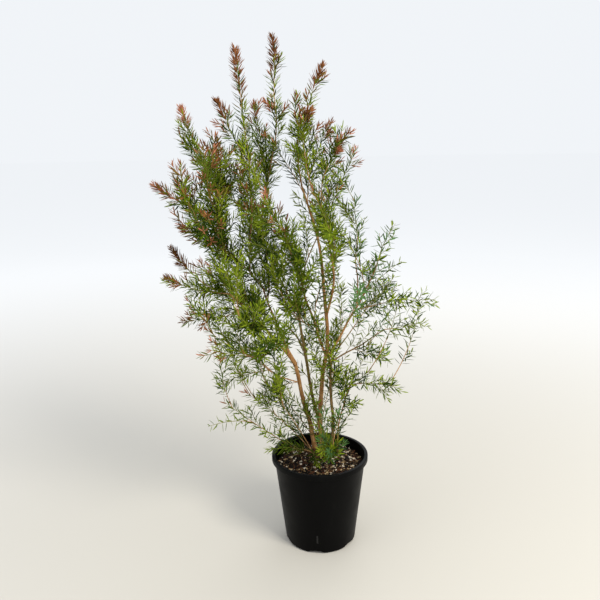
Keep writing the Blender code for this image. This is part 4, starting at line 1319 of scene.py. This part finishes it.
# A grain is a noise over the object's own coordinates, and a finish is what a material makes of its grains.
Grain = namedtuple("Grain", "scale stretch detail rough", defaults=((1.0, 1.0, 1.0), 4.0, 0.55))
Finish = namedtuple(
    "Finish", "rough gloss tone_grain rough_grain rough_range bump_grain bump_strength bump_depth",
)


def crumb(scale):
    """The finish of potting mix, whose relief is three times as fine as its tones."""
    tone_grain = Grain(scale, detail=6.0, rough=0.65)
    return Finish(0.9, 0.15, tone_grain, None, (0.72, 0.95), Grain(3.0 * scale), 0.6, 0.0006)


BARK = Finish(
    0.8, 0.2, Grain(190.0, (1.0, 1.0, 0.22), 6.0, 0.62), None, (0.68, 0.92),
    Grain(900.0, (1.0, 1.0, 0.3), 5.0, 0.6), 0.5, 0.0006,
)
LEAF = Finish(
    0.45, 0.05, Grain(55.0, detail=2.0), Grain(380.0, detail=3.0), (0.42, 0.6),
    Grain(1400.0, detail=2.0), 0.25, 0.0003,
)
PLASTIC = Finish(
    0.38, 0.06, Grain(14.0, (1.0, 1.0, 0.45), 8.0, 0.68), Grain(30.0, detail=6.0), (0.36, 0.50),
    Grain(1100.0, detail=2.0), 0.10, 0.0003,
)
SOIL = crumb(420.0)
CHIP = crumb(260.0)


def new_look(name, rough, gloss):
    """A material, with its node tree and its shader."""
    look = bpy.data.materials.new(name)
    look.use_nodes = True
    shader = look.node_tree.nodes["Principled BSDF"]
    shader.inputs["Roughness"].default_value = rough
    shader.inputs["Specular IOR Level"].default_value = gloss
    return look, look.node_tree, shader


def pattern(tree, grain):
    place = tree.nodes.new("ShaderNodeTexCoord")
    mapping = tree.nodes.new("ShaderNodeMapping")
    mapping.inputs["Scale"].default_value = grain.stretch
    texture = tree.nodes.new("ShaderNodeTexNoise")
    texture.inputs["Scale"].default_value = grain.scale
    texture.inputs["Detail"].default_value = grain.detail
    texture.inputs["Roughness"].default_value = grain.rough
    tree.links.new(place.outputs["Object"], mapping.inputs["Vector"])
    tree.links.new(mapping.outputs["Vector"], texture.inputs["Vector"])
    return texture.outputs["Fac"]


def ramp(tree, source, tones):
    node = tree.nodes.new("ShaderNodeValToRGB")
    stops = node.color_ramp.elements
    while len(stops) < len(tones):
        stops.new(0.5)
    for stop, (share, colour) in zip(stops, tones):
        stop.position = share
        stop.color = (*colour, 1.0)
    tree.links.new(source, node.inputs["Fac"])
    return node.outputs["Color"]


def grey_ramp(tree, source, low, high):
    """A number that goes from low to high with the pattern."""
    node = tree.nodes.new("ShaderNodeMapRange")
    node.inputs["From Min"].default_value = ROUGH_OVER[0]
    node.inputs["From Max"].default_value = ROUGH_OVER[1]
    node.inputs["To Min"].default_value = low
    node.inputs["To Max"].default_value = high
    tree.links.new(source, node.inputs["Value"])
    return node.outputs["Result"]


def bump(tree, shader, source, strength, distance):
    node = tree.nodes.new("ShaderNodeBump")
    node.inputs["Strength"].default_value = strength
    node.inputs["Distance"].default_value = distance
    tree.links.new(source, node.inputs["Height"])
    tree.links.new(node.outputs["Normal"], shader.inputs["Normal"])


def finished_look(name, tones, finish):
    """A material whose colour, roughness and relief follow its finish's grains."""
    look, tree, shader = new_look(name, finish.rough, finish.gloss)
    toned = pattern(tree, finish.tone_grain)
    roughened = pattern(tree, finish.rough_grain) if finish.rough_grain else toned
    tree.links.new(ramp(tree, toned, tones), shader.inputs["Base Color"])
    tree.links.new(grey_ramp(tree, roughened, *finish.rough_range), shader.inputs["Roughness"])
    bump(tree, shader, pattern(tree, finish.bump_grain), finish.bump_strength, finish.bump_depth)
    return look


def leaf_look(kind, colour):
    """Narrow leaves: one base colour, a little darker or lighter from place to place."""
    darker = [part * LEAF_DARKER for part in colour]
    lighter = [min(part * LEAF_LIGHTER, 1.0) for part in colour]
    return finished_look("leaf_" + kind, list(zip(LEAF_TONE_SHARES, (darker, colour, lighter))), LEAF)


Light = namedtuple("Light", "name place side power colour")

FLOOR_RADIUS = 60.0
FLOOR_SIDES = 96
FLOOR_NEAR = (0.53, 0.51, 0.465)
FLOOR_FAR = (0.985, 0.985, 0.985)
FLOOR_FADE = (0.2, 4.5)
SKY_COLOUR = (0.935, 0.965, 1.0)
SKY_STRENGTH = 0.94
LIGHTS_FACE = Vector((0.0, 0.0, 0.6))
LIGHTS = (
    Light("key_light", (1.6, -1.7, 2.5), 1.1, 88.0, (1.0, 0.95, 0.84)),
    Light("fill_light", (-1.9, -1.3, 1.6), 1.8, 10.0, (1.0, 1.0, 1.0)),
    Light("back_light", (0.6, 2.1, 2.4), 1.8, 20.0, (1.0, 1.0, 1.0)),
)


def make_stage():
    """A large plain pale floor, near-white surroundings and three soft lights."""
    disc = bmesh.new()
    bmesh.ops.create_circle(disc, cap_ends=True, segments=FLOOR_SIDES, radius=FLOOR_RADIUS)
    ground = placed("studio_floor", mesh_of("studio_floor", disc))
    look, tree, shader = new_look("pale_floor", rough=0.9, gloss=0.0)
    place = tree.nodes.new("ShaderNodeTexCoord")
    reach = tree.nodes.new("ShaderNodeVectorMath")
    reach.operation = "LENGTH"
    fade = tree.nodes.new("ShaderNodeMapRange")
    fade.interpolation_type = "SMOOTHSTEP"
    fade.inputs["From Min"].default_value = FLOOR_FADE[0]
    fade.inputs["From Max"].default_value = FLOOR_FADE[1]
    tree.links.new(place.outputs["Object"], reach.inputs[0])
    tree.links.new(reach.outputs["Value"], fade.inputs["Value"])
    colour = ramp(tree, fade.outputs["Result"], ((0.0, FLOOR_NEAR), (1.0, FLOOR_FAR)))
    tree.links.new(colour, shader.inputs["Base Color"])
    ground.data.materials.append(look)
    world = bpy.data.worlds.new("studio")
    world.use_nodes = True
    sky = world.node_tree.nodes["Background"]
    sky.inputs["Color"].default_value = (*SKY_COLOUR, 1.0)
    sky.inputs["Strength"].default_value = SKY_STRENGTH
    bpy.context.scene.world = world
    for row in LIGHTS:
        soft_light(row)


def soft_light(row):
    """A square light that faces the middle of the plant."""
    light = bpy.data.lights.new(row.name, "AREA")
    light.color = row.colour
    light.size = row.side
    light.energy = row.power
    made = placed(row.name, light)
    made.location = row.place
    made.rotation_euler = (LIGHTS_FACE - Vector(row.place)).to_track_quat("-Z", "Y").to_euler()


def make_camera():
    forward, right, up = view_directions()
    lens = bpy.data.cameras.new("camera")
    lens.lens = LENS
    lens.sensor_width = SENSOR
    made = placed("camera", lens)
    turn = Matrix((right, up, -forward)).transposed().to_4x4()
    made.matrix_world = Matrix.Translation(Vector(EYE)) @ turn
    bpy.context.scene.camera = made


make_camera()
make_stage()
bpy.context.scene.view_settings.view_transform = "Standard"
make_pot()
make_rib()
make_soil()
make_chips()
limbs = limb_lines()
make_bark(limbs)
make_root_crown()
shoots = grow_shoots(limbs)
make_twigs(shoots)
make_leaves(shoots)
